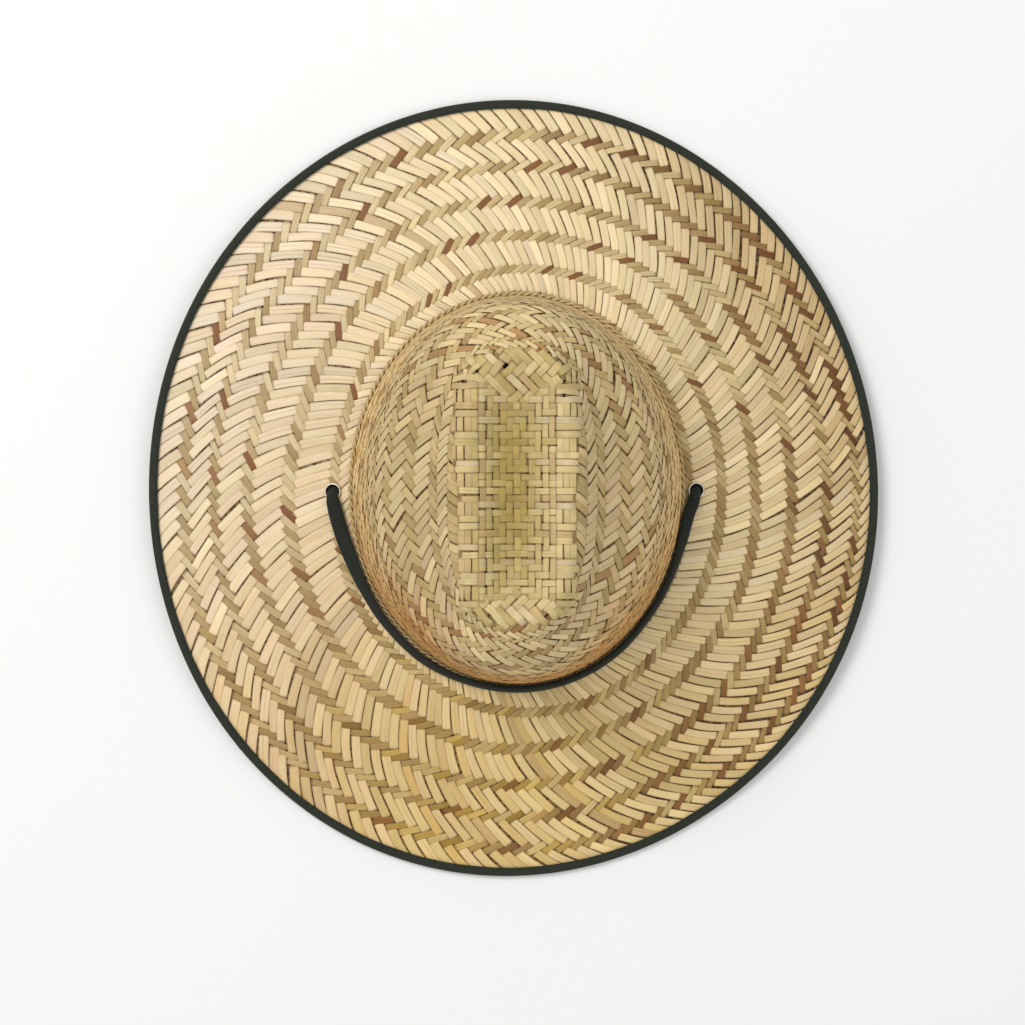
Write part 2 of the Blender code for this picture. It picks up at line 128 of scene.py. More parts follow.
@dataclass(frozen=True)
class HatForm:
    """Outlines, heights and surfaces of the hat, which every piece is laid on."""

    crown_length: float = 0.2010
    crown_width: float = 0.1706
    crown_height: float = 0.1060
    crown_shift: tuple[float, float] = (0.0018, -0.0008)
    end_sharpness: float = 4.0
    brim_length: float = 0.4084
    brim_width: float = 0.3820
    brim_rise: float = 0.0240
    side_lift: float = 0.0060
    straw_wall: float = 0.0018
    play: float = 0.0003
    tape_wall: float = 0.0008
    tape_width: float = 0.0047
    seat_margin: float = 0.0008
    # Rings of the crown: side_out, side_up, end_out, end_up, squareness
    crown_rings: tuple[tuple[float, ...], ...] = (
        (1.000, 0.000, 1.000, 0.000, 2.00), (1.000, 0.030, 1.000, 0.030, 2.00),
        (0.968, 0.150, 0.982, 0.180, 2.00), (0.932, 0.270, 0.964, 0.330, 2.00),
        (0.895, 0.385, 0.942, 0.480, 2.05), (0.855, 0.480, 0.918, 0.620, 2.10),
        (0.808, 0.548, 0.888, 0.735, 2.15), (0.745, 0.598, 0.850, 0.820, 2.20),
        (0.660, 0.645, 0.802, 0.880, 2.30), (0.570, 0.698, 0.757, 0.916, 2.40),
        (0.500, 0.758, 0.725, 0.936, 2.50), (0.450, 0.838, 0.702, 0.948, 2.60),
        (0.405, 0.928, 0.680, 0.957, 2.70), (0.350, 0.984, 0.655, 0.966, 2.80),
        (0.285, 1.000, 0.625, 0.972, 2.80), (0.200, 0.978, 0.585, 0.966, 2.80),
        (0.110, 0.945, 0.535, 0.954, 2.80), (0.030, 0.930, 0.480, 0.944, 2.80),
    )
    # Waves of the brim's outline: count, share of the radius, peak in degrees
    brim_waves: tuple[tuple[float, float, float], ...] = (
        (1, 0.0090, 208.0), (3, 0.0040, -10.0), (4, 0.0020, -24.0))
    # Fall of the brim: share of the way out, share of the rise that is left
    brim_fall: tuple[tuple[float, float], ...] = (
        (0.00, 1.000), (0.10, 0.900), (0.24, 0.725), (0.40, 0.520),
        (0.56, 0.330), (0.72, 0.165), (0.87, 0.045), (1.00, 0.000))

    def seat(self, angle: np.ndarray, outset: float = 0.0) -> np.ndarray:
        """Points in plan of the crown's base, set out by outset."""
        return np.stack([
            self.crown_shift[0] + (self.crown_width / 2 + outset) * np.cos(angle),
            self.crown_shift[1] + (self.crown_length / 2 + outset) * np.sin(angle)], axis=-1)

    def edge_height(self) -> float:
        """Height of the folded tape, which holds the brim's edge."""
        return 2 * self.tape_wall + 2 * self.play + self.straw_wall

    def waved(self, angle: np.ndarray) -> np.ndarray:
        """Waved oval of the brim before it is centred.

        Args:
            angle: Angles round the hat.

        Returns:
            Points in plan.
        """
        oval = 1.0 / np.hypot(np.cos(angle) / (self.brim_width / 2), np.sin(angle) / (self.brim_length / 2))
        waves = sum(share * np.cos(count * angle - math.radians(count * peak))
                    for count, share, peak in self.brim_waves)
        radius = oval * (1.0 + waves)
        return np.stack([radius * np.cos(angle), radius * np.sin(angle)], axis=-1)

    def rim(self, angle: np.ndarray) -> np.ndarray:
        """Finished outline of the brim.

        Args:
            angle: Angles round the hat.

        Returns:
            Points in plan.
        """
        ring = self.waved(np.linspace(0.0, TURN, 361)[:-1])
        low, high = ring.min(axis=0), ring.max(axis=0)
        size = np.array([self.brim_width, self.brim_length])
        return (self.waved(angle) - (low + high) / 2) * size / (high - low)

    def outward(self, angle: np.ndarray) -> np.ndarray:
        """Way from the outline of the brim straight away from the hat.

        Args:
            angle: Angles round the hat.

        Returns:
            Unit vectors in plan.
        """
        step = math.radians(0.5)
        along = self.rim(angle + step) - self.rim(angle - step)
        return unit(np.stack([along[..., 1], -along[..., 0]], axis=-1))

    def edge_lift(self, angle: np.ndarray) -> np.ndarray:
        """Height of the brim's edge over the floor: its sides curl up."""
        return self.side_lift * eased((np.abs(np.cos(angle)) - 0.45) / 0.55)

    def fall(self, out: np.ndarray) -> np.ndarray:
        """Share of the brim's rise that is left, with the table's corners eased.

        Args:
            out: Shares of the way out.

        Returns:
            Shares of the rise.
        """
        table = np.array(self.brim_fall)
        spread = np.linspace(-0.04, 0.04, 9)
        return np.mean([np.interp(out + s, table[:, 0], table[:, 1]) for s in spread], axis=0)

    def brim(self, angle: np.ndarray, out: np.ndarray) -> np.ndarray:
        """Middle of the straw's thickness at a share of the way from crown to tape.

        Args:
            angle: Angles round the hat.
            out: Shares of the way out, 0 at the crown and 1 at the tape's inner edge.

        Returns:
            Points, with x, y and z on the last axis.
        """
        inner = self.seat(angle, self.seat_margin)
        outer = self.rim(angle) - self.outward(angle) * (self.tape_width + self.play)
        plan = inner + (outer - inner) * out[..., None]
        height = (self.tape_wall + self.play + self.straw_wall / 2 + self.brim_rise * self.fall(out)
                  + self.edge_lift(angle) * eased(out))
        return np.concatenate([plan, height[..., None]], axis=-1)

    def crown_base(self) -> float:
        """Height of the crown's lowest ring."""
        return self.tape_wall + 2 * self.play + self.straw_wall + self.brim_rise

    def crown(self, row: np.ndarray, angle: np.ndarray) -> np.ndarray:
        """Outer surface of the crown.

        Args:
            row: Fractional ring numbers.
            angle: Angles round the hat.

        Returns:
            Points, with x, y and z on the last axis.
        """
        ring = along_rows(np.array(self.crown_rings), row)
        bulge = 2.0 / ring[..., 4]
        cos, sin = np.cos(angle), np.sin(angle)
        x = self.crown_width / 2 * ring[..., 0] * np.sign(cos) * np.abs(cos) ** bulge
        y = self.crown_length / 2 * ring[..., 2] * np.sign(sin) * np.abs(sin) ** bulge
        up = ring[..., 1] + (ring[..., 3] - ring[..., 1]) * np.abs(sin) ** self.end_sharpness
        return np.stack([self.crown_shift[0] + x, self.crown_shift[1] + y,
                         self.crown_base() + self.crown_height * up], axis=-1)

    def crown_top(self, x: np.ndarray, y: np.ndarray) -> np.ndarray:
        """Height of the crown's outer surface between and on its ridges.

        Args:
            x: Places to the right.
            y: Places to the front.

        Returns:
            Heights over the floor.
        """
        rows = np.linspace(len(self.crown_rings) - 1, 6.0, 240)
        ring = along_rows(np.array(self.crown_rings), rows)
        wide = self.crown_width / 2 * ring[:, 0]
        long = self.crown_length / 2 * ring[:, 2]
        across = np.abs(x - self.crown_shift[0])[..., None] / wide
        ahead = np.abs(y - self.crown_shift[1])[..., None] / long
        reach = across ** ring[:, 4] + ahead ** ring[:, 4]
        found = np.argmax(reach <= 1.0, axis=-1)
        pick = ring[found]
        share = np.clip(np.take_along_axis(ahead, found[..., None], axis=-1)[..., 0], 0.0, 1.0)
        sin = share ** (pick[..., 4] / 2.0)
        up = pick[..., 1] + (pick[..., 3] - pick[..., 1]) * sin ** self.end_sharpness
        return self.crown_base() + self.crown_height * up


FORM = HatForm()


@dataclass
class Sheet:
    """Table of points of a surface that goes round the hat, read between its rows.

    Attributes:
        points: Points by row and by column, the columns closing on themselves.
        first: Coordinate of the first row.
        last: Coordinate of the last row.
    """

    points: np.ndarray
    first: float
    last: float

    def at(self, row: np.ndarray, turn: np.ndarray) -> np.ndarray:
        """Points of the surface.

        Args:
            row: Row coordinates.
            turn: Turns round the hat, in radians.

        Returns:
            Points, with x, y and z on the last axis.
        """
        rows, columns = self.points.shape[:2]
        r = np.clip((row - self.first) / (self.last - self.first), 0.0, 1.0) * (rows - 1)
        c = (turn / TURN % 1.0) * columns
        r0 = np.minimum(np.floor(r).astype(int), rows - 2)
        c0 = np.floor(c).astype(int) % columns
        c1 = (c0 + 1) % columns
        fr, fc = (r - r0)[..., None], (c - np.floor(c))[..., None]
        near = self.points[r0, c0] * (1 - fc) + self.points[r0, c1] * fc
        far = self.points[r0 + 1, c0] * (1 - fc) + self.points[r0 + 1, c1] * fc
        return near * (1 - fr) + far * fr

    def normal(self, row: np.ndarray, turn: np.ndarray) -> np.ndarray:
        """Way straight out of the surface.

        Args:
            row: Row coordinates.
            turn: Turns round the hat, in radians.

        Returns:
            Unit vectors.
        """
        dr, dc = (self.last - self.first) * 0.004, 0.01
        along = self.at(row + dr, turn) - self.at(row - dr, turn)
        beside = self.at(row, turn + dc) - self.at(row, turn - dc)
        square = unit(np.cross(along, beside))
        return square if square[..., 2].mean() > 0.0 else -square


# Strands


@dataclass(frozen=True)
class StrawLot:
    """One colour of straw and how much of it there is."""

    colour: tuple[float, float, float]
    share: float


def draw_lots(lots: Sequence[StrawLot], count: int, rng: np.random.Generator) -> np.ndarray:
    """Colours of strands, drawn from lots of straw with a little change each.

    Args:
        lots: Lots of straw.
        count: Number of strands.
        rng: Source of the random draws.

    Returns:
        Linear colours by strand.
    """
    shares = np.array([lot.share for lot in lots])
    colours = np.array([paint(*lot.colour) for lot in lots])
    chosen = colours[rng.choice(len(lots), size=count, p=shares / shares.sum())]
    bright = rng.normal(1.0, 0.045, (count, 1))
    tone_and_painted_light = rng.normal(0.0, 0.012, (count, 1)) * np.array([[1.0, 0.0, -1.6]])
    return np.clip(chosen * bright * (1.0 + tone_and_painted_light), 0.01, 0.95)


@dataclass
class Strands:
    """Many flat strips of straw that are joined into one mesh.

    Attributes:
        centres: Points of the centre lines, by strand and by station.
        normals: Unit vectors on the outer side there.
        half_widths: Half of the width there.
        tints: Linear colours there.
        cover: Painted shade on the strand there, from 0 to 1: most where it is under the others.
        seeds: One number for each strand, which moves its grain.
        kept: Whether the strand goes on there, or None where all of it is kept.
        camber: Height of the strip's middle over its edges.
        depth: Depth of the strip's underside below its edges.
        grain: Length along a strip that counts as 1 in its UV map.
    """

    centres: np.ndarray
    normals: np.ndarray
    half_widths: np.ndarray
    tints: np.ndarray
    cover: np.ndarray
    seeds: np.ndarray
    kept: np.ndarray | None = None
    camber: float = 0.00016
    depth: float = 0.00014
    grain: float = 0.004

    def faces(self) -> np.ndarray:
        """Faces of the strips: their walls, then their ends.

        Returns:
            Four numbers of points for each face.
        """
        strands, stations = self.centres.shape[:2]
        kept = np.ones((strands, stations), bool) if self.kept is None else self.kept
        index = np.arange(strands * stations * 4).reshape(strands, stations, 4)
        here, there = index[:, :-1], index[:, 1:]
        walls = np.stack([here, np.roll(here, -1, axis=2), np.roll(there, -1, axis=2), there], axis=-1)
        runs = kept[:, :-1] & kept[:, 1:]
        edge = np.zeros((strands, 1), bool)
        starts = np.concatenate([runs, edge], axis=1) & ~np.concatenate([edge, runs], axis=1)
        stops = np.concatenate([edge, runs], axis=1) & ~np.concatenate([runs, edge], axis=1)
        return np.concatenate([walls[runs].reshape(-1, 4), index[starts][:, ::-1], index[stops]])

    def mesh(self, name: str) -> bpy.types.Object:
        """The strips as one object, with their grain's UV map and attributes.

        Args:
            name: Name of the piece.

        Returns:
            The object, linked to the scene.
        """
        strands, stations = self.centres.shape[:2]
        grid = (strands, stations, 4)
        ahead = unit(np.gradient(self.centres, axis=1))
        side = unit(np.cross(ahead, self.normals))
        up = unit(np.cross(side, ahead))
        wide = self.half_widths[..., None]
        points = np.stack([self.centres - side * wide, self.centres + up * self.camber,
                           self.centres + side * wide, self.centres - up * self.depth], axis=2).reshape(-1, 3)
        along = np.stack([gone_along(line) for line in self.centres]) / self.grain
        across = np.broadcast_to(np.array([0.0, 0.5, 1.0, 0.5]), grid)
        lay = np.stack([across, np.broadcast_to(along[..., None], grid)], axis=-1).reshape(-1, 2)
        tint = np.ones((*grid, 4))
        tint[..., :3] = self.tints[:, :, None, :]
        seed = np.broadcast_to(self.seeds[:, None, None], grid).ravel()
        cover = np.broadcast_to(np.broadcast_to(self.cover, grid[:2])[..., None], grid).ravel()
        faces = self.faces()
        used, fresh = np.unique(faces, return_inverse=True)
        fresh = fresh.reshape(-1, 4)
        mesh = bpy.data.meshes.new(name)
        mesh.from_pydata(points[used].tolist(), [], fresh.tolist())
        corners = faces.ravel()
        # Painted shade: the underside of a strip is open and left unshaded where its top is covered, and
        # shaded where its top is open.
        below = np.repeat((faces % 4 == 3).any(axis=1), 4)
        hidden = np.where(below, 1.0 - cover[corners], cover[corners])
        mesh.uv_layers.new(name=LAY).data.foreach_set("uv", lay[corners].astype(np.float32).ravel())
        for attribute, kind, where, key, values in (
                ("tint", "FLOAT_COLOR", "POINT", "color", tint.reshape(-1, 4)[used]),
                ("seed", "FLOAT", "POINT", "value", seed[used]),
                ("cover", "FLOAT", "CORNER", "value", hidden)):
            data = mesh.attributes.new(attribute, kind, where).data
            data.foreach_set(key, values.astype(np.float32).ravel())
        mesh.shade_smooth()
        mesh.set_sharp_from_angle(angle=math.radians(75))
        obj = bpy.data.objects.new(name, mesh)
        bpy.context.scene.collection.objects.link(obj)
        return obj


@dataclass(frozen=True)
class Twill:
    """Rule by which a weave's strands go over and under, by their crossing level.

    Attributes:
        repeat: Crossings after which the rule starts again.
        over: Crossings of each repeat, from 0, at which the anticlockwise strand is on top.
        rise: Height of a strand's centre over the sheet's middle where it is on top.
        bow: Extra height at the middle of a long float.
    """

    repeat: int
    over: tuple[int, ...]
    rise: float
    bow: float

    def stations(self, first: float, last: float, in_float: float) -> np.ndarray:
        """Levels at which a strand gets a section: close at its dives, wide on its floats.

        Args:
            first: Level at which the strands start.
            last: Level at which they end.
            in_float: Levels between the sections of a float.

        Returns:
            The levels, in order.
        """
        levels = [first, last]
        for level in range(math.floor(first) - 1, math.ceil(last) + 1):
            if self.on_top(level) != self.on_top(level + 1):
                levels += [level + 0.5 + step for step in (-0.36, -0.13, 0.13, 0.36)]
        levels = sorted(step for step in levels if first <= step <= last)
        filled = [levels[0]]
        for step in levels[1:]:
            gap = step - filled[-1]
            if gap < 0.08:
                continue
            parts = max(1, round(gap / in_float))
            filled += [filled[-1] + gap * (n + 1) / parts for n in range(parts)] if parts > 1 else [step]
        return np.array(filled)

    def on_top(self, level: int) -> bool:
        """Whether the anticlockwise strand is on top at a whole crossing level."""
        return level % self.repeat in self.over

    def height(self, level: np.ndarray) -> np.ndarray:
        """Place of the anticlockwise strand.

        Args:
            level: Fractional crossing levels.

        Returns:
            Places from -1, under the other family, to 1, over it.
        """
        low = np.floor(level).astype(int)
        table = np.array([1.0 if self.on_top(n) else -1.0 for n in range(self.repeat)])
        here, after = table[low % self.repeat], table[(low + 1) % self.repeat]
        return here + (after - here) * eased((level - low - 0.5) / 0.74 + 0.5)

    def middle(self, level: np.ndarray, lean: Lean) -> np.ndarray:
        """How near a strand is to the middle of a float.

        Args:
            level: Fractional crossing levels.
            lean: Way that the strand runs.

        Returns:
            Nearness from 0 to 1.
        """
        spread = np.arange(-2.5, 2.51, 0.25)
        near = np.mean([self.height(level + s) * lean.value for s in spread], axis=0)
        return np.clip(near, 0.0, 1.0) * (self.height(level) * lean.value > 0)


@dataclass
class Lay:
    """How the two families of a round weave run over its sheet, as a table.

    Attributes:
        rows: Row coordinates of the sheet.
        levels: Crossing levels there.
        long_turn: Angle that the anticlockwise family has gone round there.
        short_turn: Angle that the clockwise family has gone round there.
    """

    rows: np.ndarray
    levels: np.ndarray
    long_turn: np.ndarray
    short_turn: np.ndarray


@dataclass
class Family:
    """One family of strands of a round weave.

    Attributes:
        sheet: The surface that the weave lies on.
        twill: The rule of overs and unders.
        lay: How the families run.
        lean: Way that this family runs.
        count: Number of its strands.
        fill: Points to the share of the room between neighbours that a strand fills.
        lots: Colours of its straw.
        seed: Seed of what varies from strand to strand.
        tone_and_painted_light: Points to the shares of red, green and blue that the straw lacks there:
            painted light and shade by place, and the straw's tone.
        painted_cover_shade: Points to the strength of the painted shade on the covered parts there, from 0 to
            1.
        sink: Points to how far the strand is let down there, in metres.
        browned: Points to how brown the oldest of its straws are there, from 0 to 1.
        kept: Points to whether the strand goes on there.
        age: How much of the tone and painted light this family has.
        in_float: Levels between the sections of a float.
        jitter: Unevenness of the spacing.
        brown: Shares of red, green and blue that the oldest straws lack.
    """

    sheet: Sheet
    twill: Twill
    lay: Lay
    lean: Lean
    count: int
    fill: Places
    lots: Sequence[StrawLot]
    seed: int
    tone_and_painted_light: Places
    painted_cover_shade: Places
    sink: Places = lambda points: np.zeros(points.shape[:-1])
    browned: Places = lambda points: np.zeros(points.shape[:-1])
    kept: Places = lambda points: np.ones(points.shape[:-1], bool)
    age: float = 1.0
    in_float: float = 0.75
    jitter: float = 0.10
    brown: tuple[float, float, float] = (0.54, 0.72, 0.80)

    def strands(self) -> Strands:
        """The family's strands, laid out and coloured.

        Returns:
            The strands.
        """
        rng = np.random.default_rng(self.seed)
        level = self.twill.stations(self.lay.levels[0], self.lay.levels[-1], self.in_float)
        row = np.interp(level, self.lay.levels, self.lay.rows)
        turned = self.lay.long_turn if self.lean is Lean.ANTICLOCKWISE else self.lay.short_turn
        pitch = TURN / self.count
        start = (np.arange(self.count) + rng.normal(0.0, self.jitter, self.count) * 0.6) * pitch
        phase = rng.uniform(0.0, TURN, (self.count, 1))
        waves = rng.uniform(0.25, 0.6, (self.count, 1))
        wobble = 0.5 * self.jitter * pitch * np.sin(level[None, :] * waves + phase)
        turn = start[:, None] + self.lean.value * np.interp(row, self.lay.rows, turned)[None, :] + wobble
        rows = np.broadcast_to(row, turn.shape)
        on_sheet = self.sheet.at(rows, turn)
        normals = self.sheet.normal(rows, turn)
        place = self.twill.height(level) * self.lean.value
        lift = self.twill.rise * place + self.twill.bow * self.twill.middle(level, self.lean)
        lift = lift[None, :] + rng.normal(0.0, 0.00004, (self.count, 1)) - self.sink(on_sheet)
        centres = on_sheet + normals * lift[..., None]
        ahead = unit(np.gradient(centres, axis=1))
        beside = self.sheet.at(rows, turn + pitch) - self.sheet.at(rows, turn - pitch)
        room = np.linalg.norm(np.cross(beside / 2.0, ahead), axis=-1)
        each = np.clip(rng.normal(1.0, 0.04, (self.count, 1)), 0.88, 1.05)
        half = self.fill(on_sheet) * room * each / 2.0
        half = half * (1.0 - 0.10 * eased((0.9 - place) / 1.4))[None, :]
        floats = np.concatenate([[0], np.cumsum(np.diff(np.sign(place)) != 0)])
        mottle = 1.0 + rng.normal(0.0, 0.035, (self.count, floats[-1] + 1))[:, floats]
        tints = draw_lots(self.lots, self.count, rng)[:, None, :] * mottle[..., None]
        age = self.age * rng.uniform(0.7, 1.3, (self.count, 1, 1))
        # Painted light and shade by place, with the straw's tone, scaled by each strand's age.
        tints = tints * np.clip(1.0 - self.tone_and_painted_light(centres) * age, 0.1, 1.5)
        old = eased((rng.uniform(0.0, 1.0, (self.count, 1)) - 0.60) / 0.25) * self.browned(on_sheet)
        tints = tints * (1.0 - old[..., None] * np.array(self.brown))
        # Painted shade on the parts of a strand that are under the other family.
        cover = eased((0.75 - place) / 1.5)[None, :] * self.painted_cover_shade(on_sheet)
        return Strands(centres, normals, half, tints, cover, rng.uniform(0.0, 60.0, self.count),
                       self.kept(on_sheet))


# Finishes


class Term:
    """A number in a node tree that takes part in plain sums."""

    def __init__(self, tree: bpy.types.NodeTree, socket: bpy.types.NodeSocket) -> None:
        """A number that is the output socket of a node in the tree."""
        self.tree, self.socket = tree, socket

    def sum(self, operation: str, first: object, second: object) -> "Term":
        """A Math node of two terms or plain numbers.

        Args:
            operation: The node's operation.
            first: Its first term or number.
            second: Its second term or number.

        Returns:
            The result.
        """
        node = self.tree.nodes.new("ShaderNodeMath")
        node.operation = operation
        for socket, value in zip(node.inputs, (first, second)):
            if isinstance(value, Term):
                self.tree.links.new(value.socket, socket)
            else:
                socket.default_value = value
        return Term(self.tree, node.outputs[0])

    def __add__(self, other: object) -> "Term":
        """self + other"""
        return self.sum("ADD", self, other)

    __radd__ = __add__

    def __sub__(self, other: object) -> "Term":
        """self - other"""
        return self.sum("SUBTRACT", self, other)

    def __rsub__(self, other: object) -> "Term":
        """other - self"""
        return self.sum("SUBTRACT", other, self)

    def __mul__(self, other: object) -> "Term":
        """self * other"""
        return self.sum("MULTIPLY", self, other)

    __rmul__ = __mul__

    def __truediv__(self, other: object) -> "Term":
        """self / other"""
        return self.sum("DIVIDE", self, other)

    def __pow__(self, other: object) -> "Term":
        """self to the power other"""
        return self.sum("POWER", self, other)

    def over(self, other: object) -> "Term":
        """1 where self is more than other, and else 0."""
        return self.sum("GREATER_THAN", self, other)

    def least(self, other: object) -> "Term":
        """The lower of self and other."""
        return self.sum("MINIMUM", self, other)

    def most(self, other: object) -> "Term":
        """The higher of self and other."""
        return self.sum("MAXIMUM", self, other)

    def size(self) -> "Term":
        """self without its sign."""
        return self.sum("ABSOLUTE", self, 0.0)

    def rest(self, repeat: float) -> "Term":
        """What is left of self after whole repeats."""
        return self.sum("FLOORED_MODULO", self, repeat)

    def held(self) -> "Term":
        """self, kept from 0 to 1."""
        return self.least(1.0).most(0.0)

    def ridges(self) -> "Term":
        """0 where self is whole, and 1 halfway between."""
        return 1.0 - (self.rest(1.0) * 2.0 - 1.0).size()


class Dye:
    """A material that is being made: its tree, its shader and its nodes."""

    def __init__(self, slot: Slot | None, name: str, fixed: dict[str, float]) -> None:
        """Starts a material.

        Args:
            slot: The record's slot that it stands for, if any.
            name: Its name.
            fixed: Shader sockets that are the same all over, with their values.
        """
        self.slot = slot
        self.material = bpy.data.materials.new(name)
        self.material.use_nodes = True
        self.tree = self.material.node_tree
        self.shader = self.tree.nodes["Principled BSDF"]
        for socket, value in fixed.items():
            self.shader.inputs[socket].default_value = value

    def node(self, kind: str, settings: dict[str, object] | None = None,
             inputs: dict[object, object] | None = None) -> bpy.types.Node:
        """A node with its settings and inputs.

        Args:
            kind: Type of the node.
            settings: Its properties; "stops" holds a ramp's places and colours.
            inputs: Values, terms or sockets by the name or number of its inputs.

        Returns:
            The node.
        """
        made = self.tree.nodes.new(kind)
        for key, value in (settings or {}).items():
            if key == "stops":
                while len(made.color_ramp.elements) < len(value):
                    made.color_ramp.elements.new(0.5)
                for element, (place, colour) in zip(made.color_ramp.elements, value):
                    element.position, element.color = place, (*colour, 1.0)
            else:
                setattr(made, key, value)
        for key, value in (inputs or {}).items():
            if isinstance(value, Term):
                self.tree.links.new(value.socket, made.inputs[key])
            elif isinstance(value, bpy.types.NodeSocket):
                self.tree.links.new(value, made.inputs[key])
            else:
                made.inputs[key].default_value = value
        return made

    def term(self, node: bpy.types.Node, output: object = 0) -> Term:
        """A node's output as a number for sums."""
        return Term(self.tree, node.outputs[output])

    def attribute(self, name: str, output: str = "Fac") -> bpy.types.NodeSocket:
        """What an attribute of the piece holds."""
        return self.node("ShaderNodeAttribute", {"attribute_name": name}).outputs[output]

    def place(self) -> bpy.types.NodeSocket:
        """Object coordinates."""
        return self.node("ShaderNodeTexCoord").outputs["Object"]

    def lay(self) -> tuple[Term, Term]:
        """Places across and along the piece, from its UV map."""
        lay = self.node("ShaderNodeUVMap", {"uv_map": LAY}).outputs[0]
        parts = self.node("ShaderNodeSeparateXYZ", None, {0: lay})
        return self.term(parts, 0), self.term(parts, 1)

    def vector(self, x: object, y: object, z: object) -> bpy.types.NodeSocket:
        """A vector of three terms or numbers."""
        return self.node("ShaderNodeCombineXYZ", None, {0: x, 1: y, 2: z}).outputs[0]

    def noise(self, vector: object, scale: float, detail: float = 2.0, rough: float = 0.5) -> Term:
        """Noise at a scale over a vector."""
        made = self.node("ShaderNodeTexNoise", None,
                         {"Vector": vector, "Scale": scale, "Detail": detail, "Roughness": rough})
        return self.term(made)

    def blend(self, amount: object, first: object, second: object, kind: str = "MIX") -> bpy.types.NodeSocket:
        """A Mix node of two colours.

        Args:
            amount: How much of the second one there is, from 0 to 1.
            first: A socket, or linear red, green and blue.
            second: A socket, or linear red, green and blue.
            kind: The node's way of mixing.

        Returns:
            The colour.
        """
        first, second = ((*part, 1.0) if isinstance(part, tuple) else part for part in (first, second))
        made = self.node("ShaderNodeMix", {"data_type": "RGBA", "blend_type": kind, "clamp_factor": True},
                         {0: amount, 6: first, 7: second})
        return made.outputs[2]

    def tinged(self, colour: bpy.types.NodeSocket, *by: float) -> bpy.types.NodeSocket:
        """A colour times red, green and blue."""
        return self.blend(1.0, colour, by, "MULTIPLY")

    def set(self, socket: str, value: object) -> None:
        """Links a varying colour or number to the shader."""
        self.tree.links.new(value.socket if isinstance(value, Term) else value, self.shader.inputs[socket])

    def emboss(self, height: Term, depth: float, strength: float = 1.0) -> None:
        """Raises the surface by a height from 0 to 1 that is depth metres."""
        made = self.node("ShaderNodeBump", None, {"Strength": strength, "Distance": depth, "Height": height})
        self.set("Normal", made.outputs["Normal"])

    def wear(self, piece: bpy.types.Object) -> None:
        """Puts the material on a piece.

        Args:
            piece: The piece.
        """
        piece.data.materials.clear()
        piece.data.materials.append(self.material)


@dataclass(frozen=True)
class StrawFinish:
    """Dry split palm straw: fine grain along each strip, darker edges, odd splits.

    Attributes:
        slot: Slot of the record.
        name: Name of the material.
        shade: Strength of the painted shade on the covered part of a strip, from 0 to 1.
        edge_shade_and_split_colour: Linear colour that a strip's edges go towards as painted shade, and of
            the dark line of a split.
        edge: Share of half a strip's width that its painted edge shade takes.
        split_share: Share of the strips that are two narrow ones side by side.
        split_width: Half of the width of the split, as a share of the strip's.
        pale: Shares of red, green and blue on the paler fibres.
        streak: Those in the broad streaks.
        shadow: Those of the painted shade, where the strip is covered and a little along its edges.
    """

    slot: Slot
    name: str
    shade: float = 0.86
    edge_shade_and_split_colour: tuple[float, ...] = paint(150, 112, 66)
    edge: float = 0.26
    split_share: float = 0.22
    split_width: float = 0.045
    pale: tuple[float, ...] = (1.16, 1.13, 1.06)
    streak: tuple[float, ...] = (0.86, 0.78, 0.66)
    shadow: tuple[float, ...] = (0.26, 0.18, 0.10)

    def make(self) -> Dye:
        """Makes the material.

        Returns:
            The material with its slot.
        """
        dye = Dye(self.slot, self.name, {"Specular IOR Level": 0.35, "IOR": 1.45})
        across, along = dye.lay()
        seed, cover = (Term(dye.tree, dye.attribute(name)) for name in ("seed", "cover"))
        tint = dye.attribute("tint", "Color")
        fine = dye.noise(dye.vector(across * 9.0, along * 0.35, seed), 2.4, 3.0, 0.6)
        broad = dye.noise(dye.vector(across * 2.2, along * 0.12, seed + 7.0), 1.6, 1.0)
        off = (across - 0.5).size() * 2.0
        # Painted shade: the strip goes darker towards its edges.
        edge = ((off - (1.0 - self.edge)) / self.edge).held()
        is_split = seed.rest(1.0).over(1.0 - self.split_share)
        split_at = seed.rest(0.21) + 0.40
        split = (1.0 - ((across - split_at).size() / self.split_width)).held() * is_split
        colour = dye.blend(fine.held(), tint, dye.tinged(tint, *self.pale))
        colour = dye.blend((broad - 0.42) * 1.6, colour, dye.tinged(colour, *self.streak))
        colour = dye.blend(edge * 0.40 + split * 0.42, colour, self.edge_shade_and_split_colour)
        # Painted shade where the strip is covered, and a little more along its edges.
        dye.set("Base Color", dye.blend(cover * self.shade + edge * 0.08, colour,
                                        dye.tinged(colour, *self.shadow)))
        dye.set("Roughness", 0.46 + fine * 0.22)
        rounded = 1.0 - off ** 4.0
        dye.emboss(rounded * 0.55 + fine * 0.28 + broad * 0.1 - split * 0.5, 0.00022, 0.8)
        return dye


